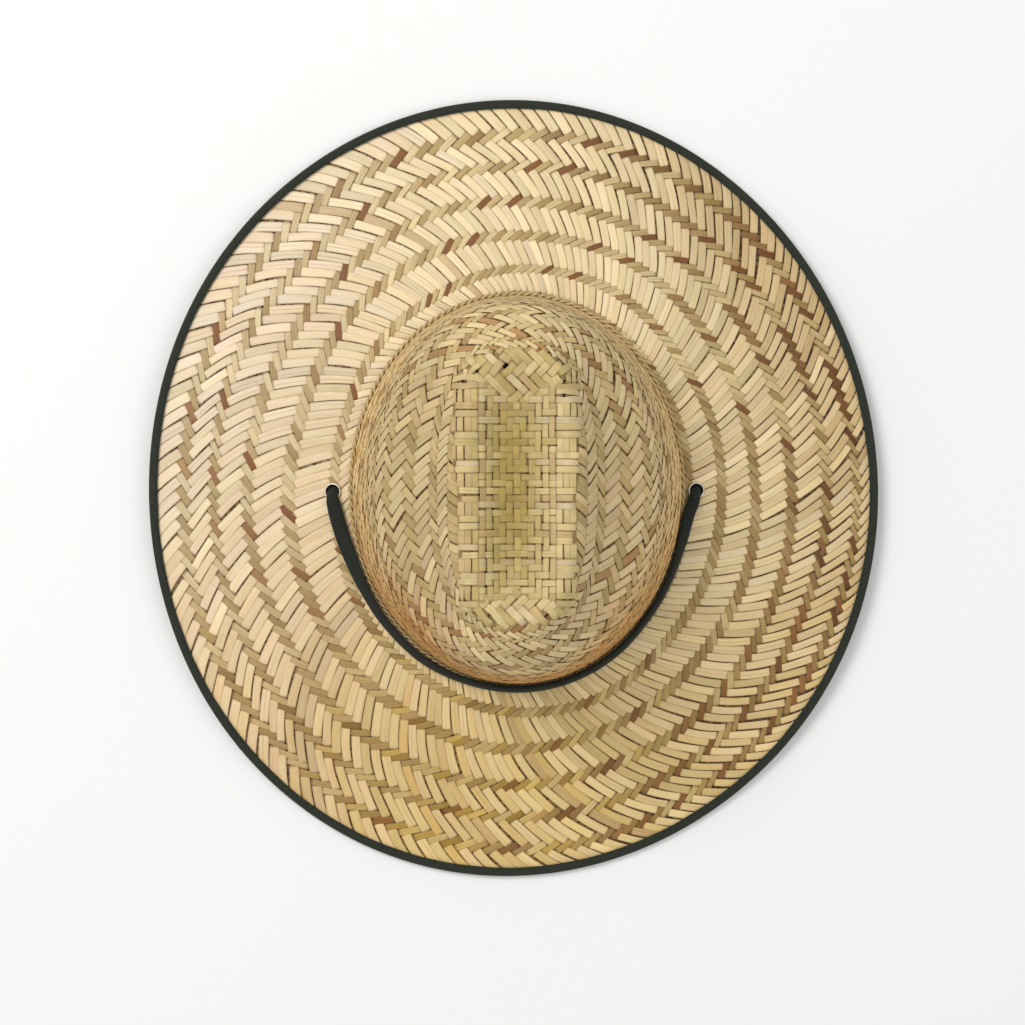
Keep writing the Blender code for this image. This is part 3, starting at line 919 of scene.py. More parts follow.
@dataclass(frozen=True)
class TapeFinish:
    """Dark woven tape with fine ribs across it and a fuzz of paler fibres.

    Attributes:
        slot: Slot of the record.
        name: Name of the material.
        colour: Linear colour of the yarn.
        fibre_colour: Linear colour of the paler fibres.
        rib: Length from rib to rib.
        yarn: Width of a yarn.
    """

    slot: Slot = Slot.TAPE
    name: str = "edge_tape"
    colour: tuple[float, ...] = paint(44, 50, 40)
    fibre_colour: tuple[float, ...] = paint(92, 96, 80)
    rib: float = 0.00055
    yarn: float = 0.00065

    def make(self) -> Dye:
        """Makes the material.

        Returns:
            The material with its slot.
        """
        dye = Dye(self.slot, self.name, {"Specular IOR Level": 0.25})
        across, along = dye.lay()
        ribs = (along / self.rib).ridges()
        yarns = (across / self.yarn + (along / (2.0 * self.rib)).rest(1.0).over(0.5) * 0.5).ridges()
        worn = dye.noise(dye.place(), 190.0, 3.0, 0.6)
        fuzz = dye.noise(dye.place(), 2600.0, 2.0, 0.7)
        # Painted shade and light: the dips between ribs and yarns take a darker copy of the colour and their
        # crests a lighter one; the worn noise is the tape's wear.
        colour = dye.blend(ribs * 0.5 + yarns * 0.3 + (worn - 0.5) * 0.6,
                           shaded(self.colour, 0.6), shaded(self.colour, 1.5))
        dye.set("Base Color", dye.blend(((fuzz - 0.62) * 3.0).held() * 0.4, colour, self.fibre_colour))
        dye.set("Roughness", 0.62 + worn * 0.25)
        dye.emboss(ribs * 0.5 + yarns * 0.4 + fuzz * 0.15, 0.00022, 0.9)
        return dye


@dataclass(frozen=True)
class BraidFinish:
    """Soft dark braid: two ways of slanting yarns, with a low sheen.

    Attributes:
        slot: Slot of the record.
        name: Name of the material.
        colour: Linear colour of the yarn.
        fibre_colour: Linear colour of the paler fibres.
        yarn: Length from yarn to yarn along the braid.
        slant: How far a yarn goes along the braid for each length across it.
    """

    slot: Slot = Slot.CORD
    name: str = "cord_braid"
    colour: tuple[float, ...] = paint(36, 41, 35)
    fibre_colour: tuple[float, ...] = paint(84, 90, 78)
    yarn: float = 0.0011
    slant: float = 0.55

    def make(self) -> Dye:
        """Makes the material.

        Returns:
            The material with its slot.
        """
        dye = Dye(self.slot, self.name,
                  {"Specular IOR Level": 0.2, "Sheen Weight": 0.06, "Sheen Roughness": 0.4})
        across, along = dye.lay()
        slope = across * self.slant
        plaited = ((along + slope) / self.yarn).ridges().most(((along - slope) / self.yarn).ridges())
        worn = dye.noise(dye.place(), 260.0, 3.0, 0.6)
        fuzz = dye.noise(dye.place(), 3000.0, 2.0, 0.7)
        # Painted shade and light: the dips between the plaited yarns take a darker copy of the colour and
        # their crests a lighter one; the worn noise is the braid's wear.
        colour = dye.blend(plaited * 0.8 + (worn - 0.5) * 0.5,
                           shaded(self.colour, 0.45), shaded(self.colour, 1.35))
        dye.set("Base Color", dye.blend(((fuzz - 0.6) * 2.5).held() * 0.35, colour, self.fibre_colour))
        dye.set("Roughness", 0.58 + worn * 0.2)
        dye.emboss(plaited * 0.8 + fuzz * 0.2, 0.0003, 0.9)
        return dye


@dataclass(frozen=True)
class MetalFinish:
    """Pale nickel plate with fine scratches and duller patches.

    Attributes:
        slot: Slot of the record.
        name: Name of the material.
        bright: Linear colour of the bright metal.
        dull: Linear colour of the duller patches.
        scratches: Scratches to the metre along x, y and z.
    """

    slot: Slot = Slot.METAL
    name: str = "eyelet_nickel"
    bright: tuple[float, ...] = paint(238, 234, 224)
    dull: tuple[float, ...] = paint(214, 208, 194)
    scratches: tuple[float, float, float] = (300.0, 4200.0, 900.0)

    def make(self) -> Dye:
        """Makes the material.

        Returns:
            The material with its slot.
        """
        dye = Dye(self.slot, self.name, {"Metallic": 1.0})
        patches = dye.noise(dye.place(), 520.0, 4.0, 0.65)
        drawn = dye.node("ShaderNodeMapping", None, {"Vector": dye.place(), "Scale": self.scratches})
        dye.set("Base Color", dye.blend(patches, self.dull, self.bright))
        dye.set("Roughness", 0.24 + patches * 0.22)
        dye.emboss(dye.noise(drawn.outputs[0], 1.0) * 0.6 + patches * 0.4, 0.00003, 0.6)
        return dye


@dataclass(frozen=True)
class PlasticFinish:
    """Black moulded plastic with a faint orange peel and a little dust.

    Attributes:
        slot: Slot of the record.
        name: Name of the material.
        colour: Linear colour of the plastic.
        dust_colour: Linear colour where dust lies on it.
    """

    slot: Slot = Slot.PLASTIC
    name: str = "join_black"
    colour: tuple[float, ...] = paint(22, 24, 22)
    dust_colour: tuple[float, ...] = paint(46, 48, 44)

    def make(self) -> Dye:
        """Makes the material.

        Returns:
            The material with its slot.
        """
        dye = Dye(self.slot, self.name, {"Specular IOR Level": 0.45})
        peel = dye.noise(dye.place(), 1500.0, 2.0)
        dust = dye.noise(dye.place(), 240.0, 4.0, 0.7)
        dye.set("Base Color", dye.blend(((dust - 0.45) * 2.0).held(), self.colour, self.dust_colour))
        dye.set("Roughness", 0.34 + dust * 0.24)
        dye.emboss(peel, 0.00003, 0.6)
        return dye


@dataclass(frozen=True)
class FloorFinish:
    """Plain pale floor, with the name of its material and its two linear colours."""

    name: str = "floor_white"
    first: tuple[float, ...] = (0.90, 0.90, 0.89)
    second: tuple[float, ...] = (0.93, 0.93, 0.925)

    def make(self) -> Dye:
        """Makes the material.

        Returns:
            The material with its slot.
        """
        dye = Dye(None, self.name, {"Roughness": 0.9, "Specular IOR Level": 0.1})
        dye.set("Base Color", dye.blend(dye.noise(dye.place(), 3.0, 1.0), self.first, self.second))
        return dye


# Sub-assemblies


@dataclass(frozen=True)
class Softbox:
    """A round soft light: its name, place, diameter, power in watts and colour."""

    name: str
    place: tuple[float, float, float]
    size: float
    power: float
    colour: tuple[float, float, float]


@dataclass
class Studio:
    """Floor, soft lights and the camera straight above the hat.

    Attributes:
        height: Height of the camera over the floor.
        frame_width: Width of the floor that the photograph shows.
        sensor: Width of the camera's sensor, in millimetres.
        image: Pixels of the square photograph.
        centre: Pixel over which the hat's centre lies.
        floor_half: Half of the floor's side.
        aim: Point that the lights look at.
        softboxes: A large soft light from the upper left and a fill.
        sky: Strength of the even sky.
    """

    height: float = 1.300
    frame_width: float = 0.5402
    sensor: float = 36.0
    image: int = 1025
    centre: tuple[float, float] = (513.5, 488.0)
    floor_half: float = 3.0
    aim: tuple[float, float, float] = (0.0, 0.0, 0.04)
    softboxes: tuple[Softbox, ...] = (
        Softbox("key_softbox", (-0.95, 0.85, 1.65), 1.0, 21.0, (1.0, 0.985, 0.96)),
        Softbox("fill_softbox", (1.3, -0.8, 1.5), 1.6, 5.0, (0.97, 0.985, 1.0)))
    sky: float = 0.62

    def build(self) -> None:
        """Makes all of the studio."""
        scene = bpy.context.scene
        scene.view_settings.view_transform = "Standard"
        scene.view_settings.look = "None"
        self.camera(scene)
        self.floor()
        self.lights(scene)

    def camera(self, scene: bpy.types.Scene) -> None:
        """Makes the camera, which looks straight down with the front of the hat up.

        Args:
            scene: The scene.
        """
        view = bpy.data.cameras.new("photo_camera")
        view.sensor_width = self.sensor
        view.sensor_fit = "HORIZONTAL"
        view.lens = self.sensor * self.height / self.frame_width
        view.shift_x = (self.image / 2 - self.centre[0]) / self.image
        view.shift_y = (self.centre[1] - self.image / 2) / self.image
        view.clip_start, view.clip_end = 0.01, 50.0
        holder = bpy.data.objects.new("photo_camera", view)
        holder.location = (0.0, 0.0, self.height)
        scene.collection.objects.link(holder)
        scene.camera = holder

    def floor(self) -> None:
        """Makes the floor that the hat rests on."""
        bm = bmesh.new()
        bmesh.ops.create_grid(bm, x_segments=8, y_segments=8, size=self.floor_half)
        FloorFinish().make().wear(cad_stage(mesh_object("studio_floor", bm)))

    def lights(self, scene: bpy.types.Scene) -> None:
        """Makes the soft lights and an even sky.

        Args:
            scene: The scene.
        """
        for box in self.softboxes:
            lamp = bpy.data.lights.new(box.name, "AREA")
            lamp.shape, lamp.size, lamp.energy, lamp.color = "DISK", box.size, box.power, box.colour
            holder = bpy.data.objects.new(box.name, lamp)
            holder.location = box.place
            holder.rotation_euler = (Vector(self.aim) - Vector(box.place)).to_track_quat("-Z", "Y").to_euler()
            scene.collection.objects.link(holder)
        world = bpy.data.worlds.new("studio_sky")
        scene.world = world
        world.use_nodes = True
        sky = world.node_tree.nodes["Background"]
        sky.inputs["Color"].default_value = (1.0, 1.0, 1.0, 1.0)
        sky.inputs["Strength"].default_value = self.sky


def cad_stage(piece: bpy.types.Object) -> bpy.types.Object:
    """Marks a piece as part of the studio and hands it back."""
    piece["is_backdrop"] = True
    return piece


def mesh_object(name: str, bm: bmesh.types.BMesh, smooth_angle: float = 40.0) -> bpy.types.Object:
    """An object from a bmesh, with its doubles merged and its faces pointing out.

    Args:
        name: Name of the piece.
        bm: The bmesh, which is freed.
        smooth_angle: Edges flatter than this, in degrees, are shaded smooth.

    Returns:
        The object, linked to the scene.
    """
    bmesh.ops.remove_doubles(bm, verts=bm.verts, dist=MERGE)
    bmesh.ops.recalc_face_normals(bm, faces=bm.faces)
    mesh = bpy.data.meshes.new(name)
    bm.to_mesh(mesh)
    bm.free()
    mesh.shade_smooth()
    mesh.set_sharp_from_angle(angle=math.radians(smooth_angle))
    obj = bpy.data.objects.new(name, mesh)
    bpy.context.scene.collection.objects.link(obj)
    return obj


def on_hat(piece: bpy.types.Object, finish: Dye, *nodes: str) -> bpy.types.Object:
    """Dresses a piece, lets it ride on the hat and hides the nodes that it replaces.

    Args:
        piece: The piece.
        finish: Its material.
        *nodes: Solids that it stands for.

    Returns:
        The piece.
    """
    finish.wear(piece)
    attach(piece, "root")
    if nodes:
        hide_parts(*nodes)
    log.info("%s: %d faces", piece.name, len(piece.data.polygons))
    return piece


def punch(piece: bpy.types.Object, stands: Sequence[Matrix], radius: float, sides: int = 16) -> None:
    """Cuts round holes through the strips of a piece and closes the cut ends.

    Args:
        piece: The piece.
        stands: For each hole, the matrix whose z axis is the hole's.
        radius: Radius of the holes.
        sides: Cuts round each hole.
    """
    mesh = piece.data
    bm = bmesh.new()
    bm.from_mesh(mesh)
    bm.faces.ensure_lookup_table()
    centres = np.empty(len(mesh.polygons) * 3, np.float32)
    mesh.polygons.foreach_get("center", centres)
    centres = centres.reshape(-1, 3)
    found = [np.flatnonzero(np.linalg.norm(centres - np.array(stand.translation), axis=1) < 3.0 * radius)
             for stand in stands]
    near = [[bm.faces[n] for n in numbers] for numbers in found]
    around = np.arange(sides) / sides * TURN
    for stand, faces in zip(stands, near):
        ways = [stand.to_3x3() @ Vector((math.cos(a), math.sin(a), 0.0)) for a in around]
        geom = list(set(faces) | {edge for face in faces for edge in face.edges}
                    | {vert for face in faces for vert in face.verts})
        for way in ways:
            geom = bmesh.ops.bisect_plane(bm, geom=geom, dist=1e-7, plane_co=stand.translation + way * radius,
                                          plane_no=way)["geom"]
        inside = [face for face in geom if isinstance(face, bmesh.types.BMFace) and max(
            (face.calc_center_median() - stand.translation).dot(way) for way in ways) < radius]
        bmesh.ops.delete(bm, geom=inside, context="FACES")
    bmesh.ops.holes_fill(bm, edges=[edge for edge in bm.edges if edge.is_boundary], sides=0)
    bm.to_mesh(mesh)
    bm.free()


def sweep(bm: bmesh.types.BMesh, sections: np.ndarray, closed: bool, across: np.ndarray,
          along: np.ndarray) -> list[list[bmesh.types.BMVert]]:
    """Extrudes a ring of edges through sections, with a UV map.

    Args:
        bm: The bmesh that the tube is added to.
        sections: Points by section and by place round it.
        closed: Whether the last section joins the first.
        across: Place across for each point of a section, and for the first one again.
        along: Place along for each section, and for the first one again if closed.

    Returns:
        The points by section. Those of a closed tube end on the first section's places.
    """
    layer = bm.loops.layers.uv.verify()
    sides = sections.shape[1]
    ring = [bm.verts.new(point) for point in sections[0].tolist()]
    edges = [bm.edges.new((ring[n], ring[(n + 1) % sides])) for n in range(sides)]
    rings = [ring]
    for number, section in enumerate([*sections[1:].tolist()] + [sections[0].tolist()] * closed, 1):
        made = set(bmesh.ops.extrude_edge_only(bm, edges=edges)["geom"])
        fresh = [next(edge.other_vert(vert) for edge in vert.link_edges if edge.other_vert(vert) in made)
                 for vert in ring]
        edges = []
        for n, (vert, point) in enumerate(zip(fresh, section)):
            after = (n + 1) % sides
            vert.co = point
            edges.append(bm.edges.get((vert, fresh[after])))
            lay = {ring[n]: (across[n], along[number - 1]), ring[after]: (across[n + 1], along[number - 1]),
                   vert: (across[n], along[number]), fresh[after]: (across[n + 1], along[number])}
            for loop in edges[-1].link_faces[0].loops:
                loop[layer].uv = lay[loop.vert]
        ring = fresh
        rings.append(ring)
    return rings


def sweep_piece(name: str, sections: np.ndarray, closed: bool, across: np.ndarray,
                along: np.ndarray) -> bpy.types.Object:
    """A tube or ring through sections as a piece of its own.

    Args:
        name: Name of the piece.
        sections: Points by section and by place round it.
        closed: Whether the last section joins the first.
        across: Distance round the section of each of its points, and of the first again.
        along: Distance along the tube of each section, and of the first again if closed.

    Returns:
        The object.
    """
    bm = bmesh.new()
    bm.loops.layers.uv.new(LAY)
    sweep(bm, sections, closed, across, along)
    bmesh.ops.holes_fill(bm, edges=[edge for edge in bm.edges if edge.is_boundary and not closed], sides=0)
    return mesh_object(name, bm, 60.0)


def turned(name: str, profile: Sequence[tuple[float, float, float]], axis: Vector, steps: int, stand: Matrix,
           smooth_angle: float) -> bpy.types.Object:
    """A closed piece that is turned about an axis from the points of a profile.

    Args:
        name: Name of the piece.
        profile: Points of the profile, which meets itself or ends at two round mouths.
        axis: Axis through the origin.
        steps: Sides of the turned piece.
        stand: Matrix that puts it in its place.
        smooth_angle: Edges flatter than this, in degrees, are shaded smooth.

    Returns:
        The object.
    """
    bm = bmesh.new()
    verts = [bm.verts.new(point) for point in profile]
    edges = [bm.edges.new(pair) for pair in zip(verts, verts[1:])]
    bmesh.ops.spin(bm, geom=verts + edges, cent=(0, 0, 0), axis=axis, angle=TURN, steps=steps, use_merge=True)
    bmesh.ops.remove_doubles(bm, verts=bm.verts, dist=MERGE)
    bmesh.ops.holes_fill(bm, edges=[edge for edge in bm.edges if edge.is_boundary], sides=0)
    bmesh.ops.transform(bm, matrix=stand, verts=bm.verts)
    return mesh_object(name, bm, smooth_angle)


@dataclass
class ChinCord:
    """Flat braided cord that goes round behind the crown and under the brim.

    Attributes:
        width: Width of the braid where it lies open.
        thickness: Thickness of the braid.
        sides: Points round a section of the braid.
        join_length: Length of the barrel that closes the loop.
        join_radius: Radius of that barrel.
        join_forward: How far in front of the hat's middle the barrel lies.
    """

    width: float = 0.0072
    thickness: float = 0.0026
    sides: int = 14
    join_length: float = 0.0160
    join_radius: float = 0.0040
    join_forward: float = 0.150
    # x, y, z in metres, lean of the braid in degrees, share of its width
    route: tuple[tuple[float, float, float, float, float], ...] = (
        (0.0083, 0.1500, 0.0040, 0, 0.70), (0.0480, 0.1455, 0.0018, 0, 1.0),
        (0.0860, 0.1230, 0.0016, 0, 1.0), (0.1115, 0.0890, 0.0016, 0, 1.0),
        (0.1190, 0.0550, 0.0018, 0, 1.0), (0.1105, 0.0295, 0.0034, 0, 1.0),
        (0.0995, 0.0135, 0.0086, 0, 0.95), (0.0946, 0.0052, 0.0148, 0, 0.88),
        (0.0933, 0.0009, 0.0207, 0, 0.80), (0.0939, -0.0013, 0.0245, 0, 0.79),
        (0.0938, -0.0036, 0.0272, 0, 0.80), (0.0926, -0.0075, 0.0288, 2, 0.88),
        (0.0903, -0.0135, 0.0292, 14, 0.92), (0.0879, -0.0231, 0.0293, 34, 0.92),
        (0.0849, -0.0342, 0.0298, 58, 0.92), (0.0800, -0.0474, 0.0299, 68, 0.94),
        (0.0728, -0.0611, 0.0299, 70, 0.94), (0.0537, -0.0842, 0.0300, 69, 0.95),
        (0.0291, -0.0988, 0.0299, 70, 0.95), (0.0018, -0.1037, 0.0299, 70, 0.95),
        (-0.0255, -0.0989, 0.0299, 68, 0.95), (-0.0483, -0.0872, 0.0297, 60, 0.97),
        (-0.0671, -0.0680, 0.0297, 56, 0.99), (-0.0746, -0.0562, 0.0296, 50, 1.02),
        (-0.0803, -0.0451, 0.0292, 38, 1.06), (-0.0850, -0.0334, 0.0284, 20, 1.08),
        (-0.0887, -0.0230, 0.0281, 8, 1.08), (-0.0914, -0.0136, 0.0284, 3, 1.06),
        (-0.0930, -0.0075, 0.0283, 0, 0.96), (-0.0935, -0.0037, 0.0268, 0, 0.82),
        (-0.0931, -0.0018, 0.0240, 0, 0.79), (-0.0923, 0.0004, 0.0202, 0, 0.80),
        (-0.0936, 0.0047, 0.0144, 0, 0.88), (-0.0988, 0.0130, 0.0084, 0, 0.95),
        (-0.1100, 0.0290, 0.0034, 0, 1.0), (-0.1190, 0.0550, 0.0018, 0, 1.0),
        (-0.1115, 0.0890, 0.0016, 0, 1.0), (-0.0860, 0.1230, 0.0016, 0, 1.0),
        (-0.0480, 0.1455, 0.0018, 0, 1.0), (-0.0083, 0.1500, 0.0040, 0, 0.70))

    def smooth(self, steps: int = 12) -> np.ndarray:
        """Fine rows on the smooth curve through the route, which turns evenly.

        Args:
            steps: Rows to each row of the route.

        Returns:
            Rows of x, y, z, lean in radians and share of the width.
        """
        knots = np.array(self.route, float)
        knots[:, 3] = np.radians(knots[:, 3])
        knots = np.vstack([2 * knots[0] - knots[1], knots, 2 * knots[-1] - knots[-2]])
        fine = []
        for n in range(1, len(knots) - 2):
            before, start, end, after = knots[n - 1:n + 3]
            g0, g1, g2 = (math.sqrt(np.linalg.norm((b - a)[:3]))
                          for a, b in ((before, start), (start, end), (end, after)))
            lead = ((start - before) / g0 - (end - before) / (g0 + g1) + (end - start) / g1) * g1
            trail = ((end - start) / g1 - (after - start) / (g1 + g2) + (after - end) / g2) * g1
            for t in np.arange(steps) / steps:
                row = (start * (2 * t**3 - 3 * t**2 + 1) + lead * (t**3 - 2 * t**2 + t)
                       + end * (-2 * t**3 + 3 * t**2) + trail * (t**3 - t**2))
                row[3:] = start[3:] + (end[3:] - start[3:]) * eased(np.array(t))
                fine.append(row)
        return np.array(fine + [knots[-2]])

    def build(self) -> None:
        fine = self.smooth()
        centre, along = fine[:, :3], gone_along(fine[:, :3])
        across = np.linspace(0.0, 1.0, self.sides + 1) * (2 * self.width + 2 * self.thickness) * 0.86
        cord = sweep_piece("chin_cord_braid", self.sections(fine), False, across, along)
        on_hat(cord, BraidFinish().make(), "chin_cord")
        join = self.join()
        log.info("cord length %.4f m", along[-1])

    def sections(self, fine: np.ndarray) -> np.ndarray:
        """Flat rounded sections of the braid, which gets thicker where it is narrow.

        Args:
            fine: Rows of the route, as smooth gives them.

        Returns:
            Points by section and by place round it.
        """
        centre, lean, share = fine[:, :3], fine[:, 3], fine[:, 4]
        ahead = unit(np.gradient(centre, axis=0))
        radial = centre * np.array([1.0, 1.0, 0.0])
        flat = unit(radial - ahead * np.sum(radial * ahead, axis=1, keepdims=True))
        up = np.cross(ahead, flat)
        steep = np.abs(ahead[:, 2:3]) > 0.9
        raised = np.where((up[:, 2:3] < 0.0) & ~steep, -up, up)
        broad = -flat * np.cos(lean)[:, None] + raised * np.sin(lean)[:, None]
        thin = np.cross(ahead, broad)
        around = np.arange(self.sides) / self.sides * TURN
        half = self.width / 2 * share
        deep = self.thickness / 2 * (1.0 + 0.9 * (1.0 - share) / 0.3)
        wide_part, deep_part = (np.sign(wave) * np.abs(wave) ** power
                                for wave, power in ((np.cos(around), 0.85), (np.sin(around), 0.8)))
        return (centre[:, None, :] + broad[:, None, :] * (half[:, None] * wide_part)[..., None]
                + thin[:, None, :] * (deep[:, None] * deep_part)[..., None])

    def join(self) -> bpy.types.Object:
        """Barrel that closes the loop, with a collar and a sunken mouth at each end.

        Returns:
            The object.
        """
        half, r = self.join_length / 2, self.join_radius
        # distance from the barrel's middle and radius, by shares
        outline = ((1.00, 0.50), (0.93, 0.62), (1.00, 0.84), (0.97, 0.95), (0.90, 1.00), (0.72, 1.00),
                   (0.66, 0.93), (0.60, 0.90), (0.20, 0.88), (0.0, 0.88))
        shares = [*outline, *((-s, q) for s, q in reversed(outline[:-1]))]
        barrel = turned("cord_barrel", [(s * half, 0.0, q * r) for s, q in shares], Vector((1, 0, 0)), 40,
                        Matrix.Translation((0.0, self.join_forward, r)), 35.0)
        return on_hat(barrel, PlasticFinish().make(), "cord_join")


@dataclass
class Brim:
    """The woven brim, as two families of strands that go over and under each other.

    Attributes:
        count: Strands in each family.
        crowding: How much closer the strands stand on one side of the hat.
        crowded_at: Direction of that side.
        twill: Rule of the weave.
    """

    count: int = 164
    crowding: float = 0.09
    crowded_at: float = math.radians(20.0)
    twill: Twill = Twill(repeat=7, over=(1, 2, 3, 4, 5), rise=0.00030, bow=0.00022)
    # Ring numbers of the short floats, and their shares of the way out at the
    # right, front, left and back
    rings: tuple[tuple[float, float, float, float, float], ...] = (
        (-0.35, -0.030, -0.030, -0.030, -0.030), (0.0, 0.020, -0.012, -0.018, -0.008),
        (1.0, 0.200, 0.125, 0.070, 0.140), (2.0, 0.390, 0.320, 0.320, 0.340),
        (3.0, 0.590, 0.500, 0.530, 0.550), (4.0, 0.770, 0.690, 0.720, 0.730),
        (5.0, 0.930, 0.860, 0.870, 0.900), (5.75, 1.030, 1.030, 1.030, 1.030))
    long_lots: tuple[StrawLot, ...] = (
        StrawLot((239, 220, 183), 0.36), StrawLot((235, 214, 175), 0.30), StrawLot((240, 222, 179), 0.10),
        StrawLot((234, 212, 178), 0.10), StrawLot((228, 211, 171), 0.12), StrawLot((208, 182, 140), 0.02))
    short_lots: tuple[StrawLot, ...] = (
        StrawLot((208, 188, 142), 0.27), StrawLot((193, 171, 124), 0.24), StrawLot((178, 154, 106), 0.19),
        StrawLot((222, 203, 157), 0.13), StrawLot((170, 136, 92), 0.09), StrawLot((154, 114, 74), 0.05),
        StrawLot((134, 90, 54), 0.03))

    def sheet(self) -> Sheet:
        """The brim's surface by ring number and by turn.

        Returns:
            The surface.
        """
        table = np.array(self.rings)
        number = np.linspace(table[0, 0], table[-1, 0], 260)
        sides = np.stack([self.smooth_rows(table[:, 0], table[:, n], number) for n in (1, 2, 3, 4)])
        right, front, left, back = sides
        turn = np.linspace(0.0, TURN, 721)[:-1]
        angle = turn - self.crowding * np.sin(turn - self.crowded_at)
        out = ((right + front + left + back)[:, None] / 4 + (right - left)[:, None] / 2 * np.cos(angle)
               + (front - back)[:, None] / 2 * np.sin(angle)
               + (right + left - front - back)[:, None] / 4 * np.cos(2 * angle))
        inside = eased((number - number[0]) / 1.2) * eased((number[-1] - number) / 0.8)
        ring, round_way = number[:, None], angle[None, :]
        wave = 0.006 * np.sin(5 * round_way + ring * 1.7) + 0.004 * np.sin(9 * round_way - ring)
        out = out + wave * inside[:, None]
        angles = np.broadcast_to(angle, out.shape)
        return Sheet(FORM.brim(angles, out), table[0, 0], table[-1, 0])

    @staticmethod
    def smooth_rows(places: np.ndarray, values: np.ndarray, at: np.ndarray) -> np.ndarray:
        """Values between uneven table rows, with their corners eased.

        Args:
            places: Places of the rows.
            values: Values of the rows.
            at: Places in between, in order.

        Returns:
            The values there.
        """
        spread = np.linspace(-0.22, 0.22, 9)
        eased_line = np.mean([np.interp(at + s, places, values) for s in spread], axis=0)
        ends = eased(np.minimum(at - at[0], at[-1] - at) / 0.25)
        return np.interp(at, places, values) * (1 - ends) + eased_line * ends

    @staticmethod
    def places(points: np.ndarray) -> tuple[np.ndarray, np.ndarray, np.ndarray]:
        """How far points lie to the right, to the back and outwards, from 0 to 1."""
        x, y = points[..., 0], points[..., 1]
        return eased((x + 0.03) / 0.18), eased((0.01 - y) / 0.17), eased((np.hypot(x, y) - 0.115) / 0.07)

    @staticmethod
    def leftwards(points: np.ndarray) -> np.ndarray:
        """How far points lie to the left, from 0 to 1."""
        return eased((-points[..., 0] - 0.03) / 0.10)

    def tone_and_painted_light(self, points: np.ndarray) -> np.ndarray:
        """Painted light and shade by place on the brim, and the straw's tone: darker at the right, darker and
        orange behind the crown, lighter far out at the left.

        Args:
            points: Points on the brim.

        Returns:
            Shares of red, green and blue that it lacks there.
        """
        right, back, far = self.places(points)
        left = self.leftwards(points)
        # Painted shade at the right and behind the crown, painted light far out at the left, over an even
        # darker tone.
        return lacking((
            (np.ones_like(left), (0.06, 0.06, 0.07)), (left, (0.06, 0.07, -0.01)),
            (left * far, (-0.075, -0.095, -0.14)), (back * (1.0 - 0.6 * right), (0.13, 0.22, 0.46)),
            (right, (0.12, 0.14, 0.19)), (right * far * (1.0 - 0.9 * back), (0.13, 0.17, 0.22)),
            (right * back, (-0.09, -0.09, -0.07))))

    def browned(self, points: np.ndarray) -> np.ndarray:
        """How brown the oldest straws are: most at the right edge and behind the crown."""
        right, back, far = self.places(points)
        return np.clip(right * (0.35 + 0.65 * far) + 0.45 * back, 0.0, 1.0)

    def gaps(self, points: np.ndarray) -> np.ndarray:
        """Share of the room that a long strand fills: the weave opens towards the edge."""
        right, _, far = self.places(points)
        return 0.995 - far * (0.062 + 0.070 * right)

    def painted_cover_shade(self, points: np.ndarray) -> np.ndarray:
        """Strength of the painted shade on the covered parts: weaker near the crown, where the weave is
        flatter, and stronger outwards and at the right.
        """
        right, _, far = self.places(points)
        return 0.56 + 0.30 * far + 0.14 * right

    def lay(self, sheet: Sheet) -> Lay:
        """How the strands run: the anticlockwise ones lean more towards the edge.

        Args:
            sheet: The brim's surface.

        Returns:
            The table of turns.
        """
        rows = np.linspace(sheet.first, sheet.last, 200)
        share = 0.27 + 0.10 * eased(rows / 5.0)
        both = (rows - rows[0]) * self.twill.repeat * TURN / self.count
        steps = (share[1:] + share[:-1]) / 2 * np.diff(both)
        long_turn = np.concatenate([[0.0], np.cumsum(steps)])
        return Lay(rows, self.twill.repeat * rows - 0.5, long_turn, both - long_turn)

    def build(self) -> None:
        """Makes the two families."""
        sheet = self.sheet()
        lay = self.lay(sheet)
        straw = StrawFinish(Slot.BRIM, "brim_straw_strips").make()
        long = Family(sheet, self.twill, lay, Lean.ANTICLOCKWISE, self.count, self.gaps, self.long_lots, 11,
                      self.tone_and_painted_light, self.painted_cover_shade)
        short = Family(sheet, self.twill, lay, Lean.CLOCKWISE, self.count,
                       lambda points: self.gaps(points) + 0.02, self.short_lots, 12,
                       self.tone_and_painted_light, self.painted_cover_shade, browned=self.browned, age=1.15)
        eyelets = Eyelets()
        for family, name in ((long, "brim_long_straws"), (short, "brim_short_straws")):
            piece = family.strands().mesh(name)
            punch(piece, eyelets.stands(), eyelets.hole / 2 + eyelets.barrel_wall)
            on_hat(piece, straw, "brim")


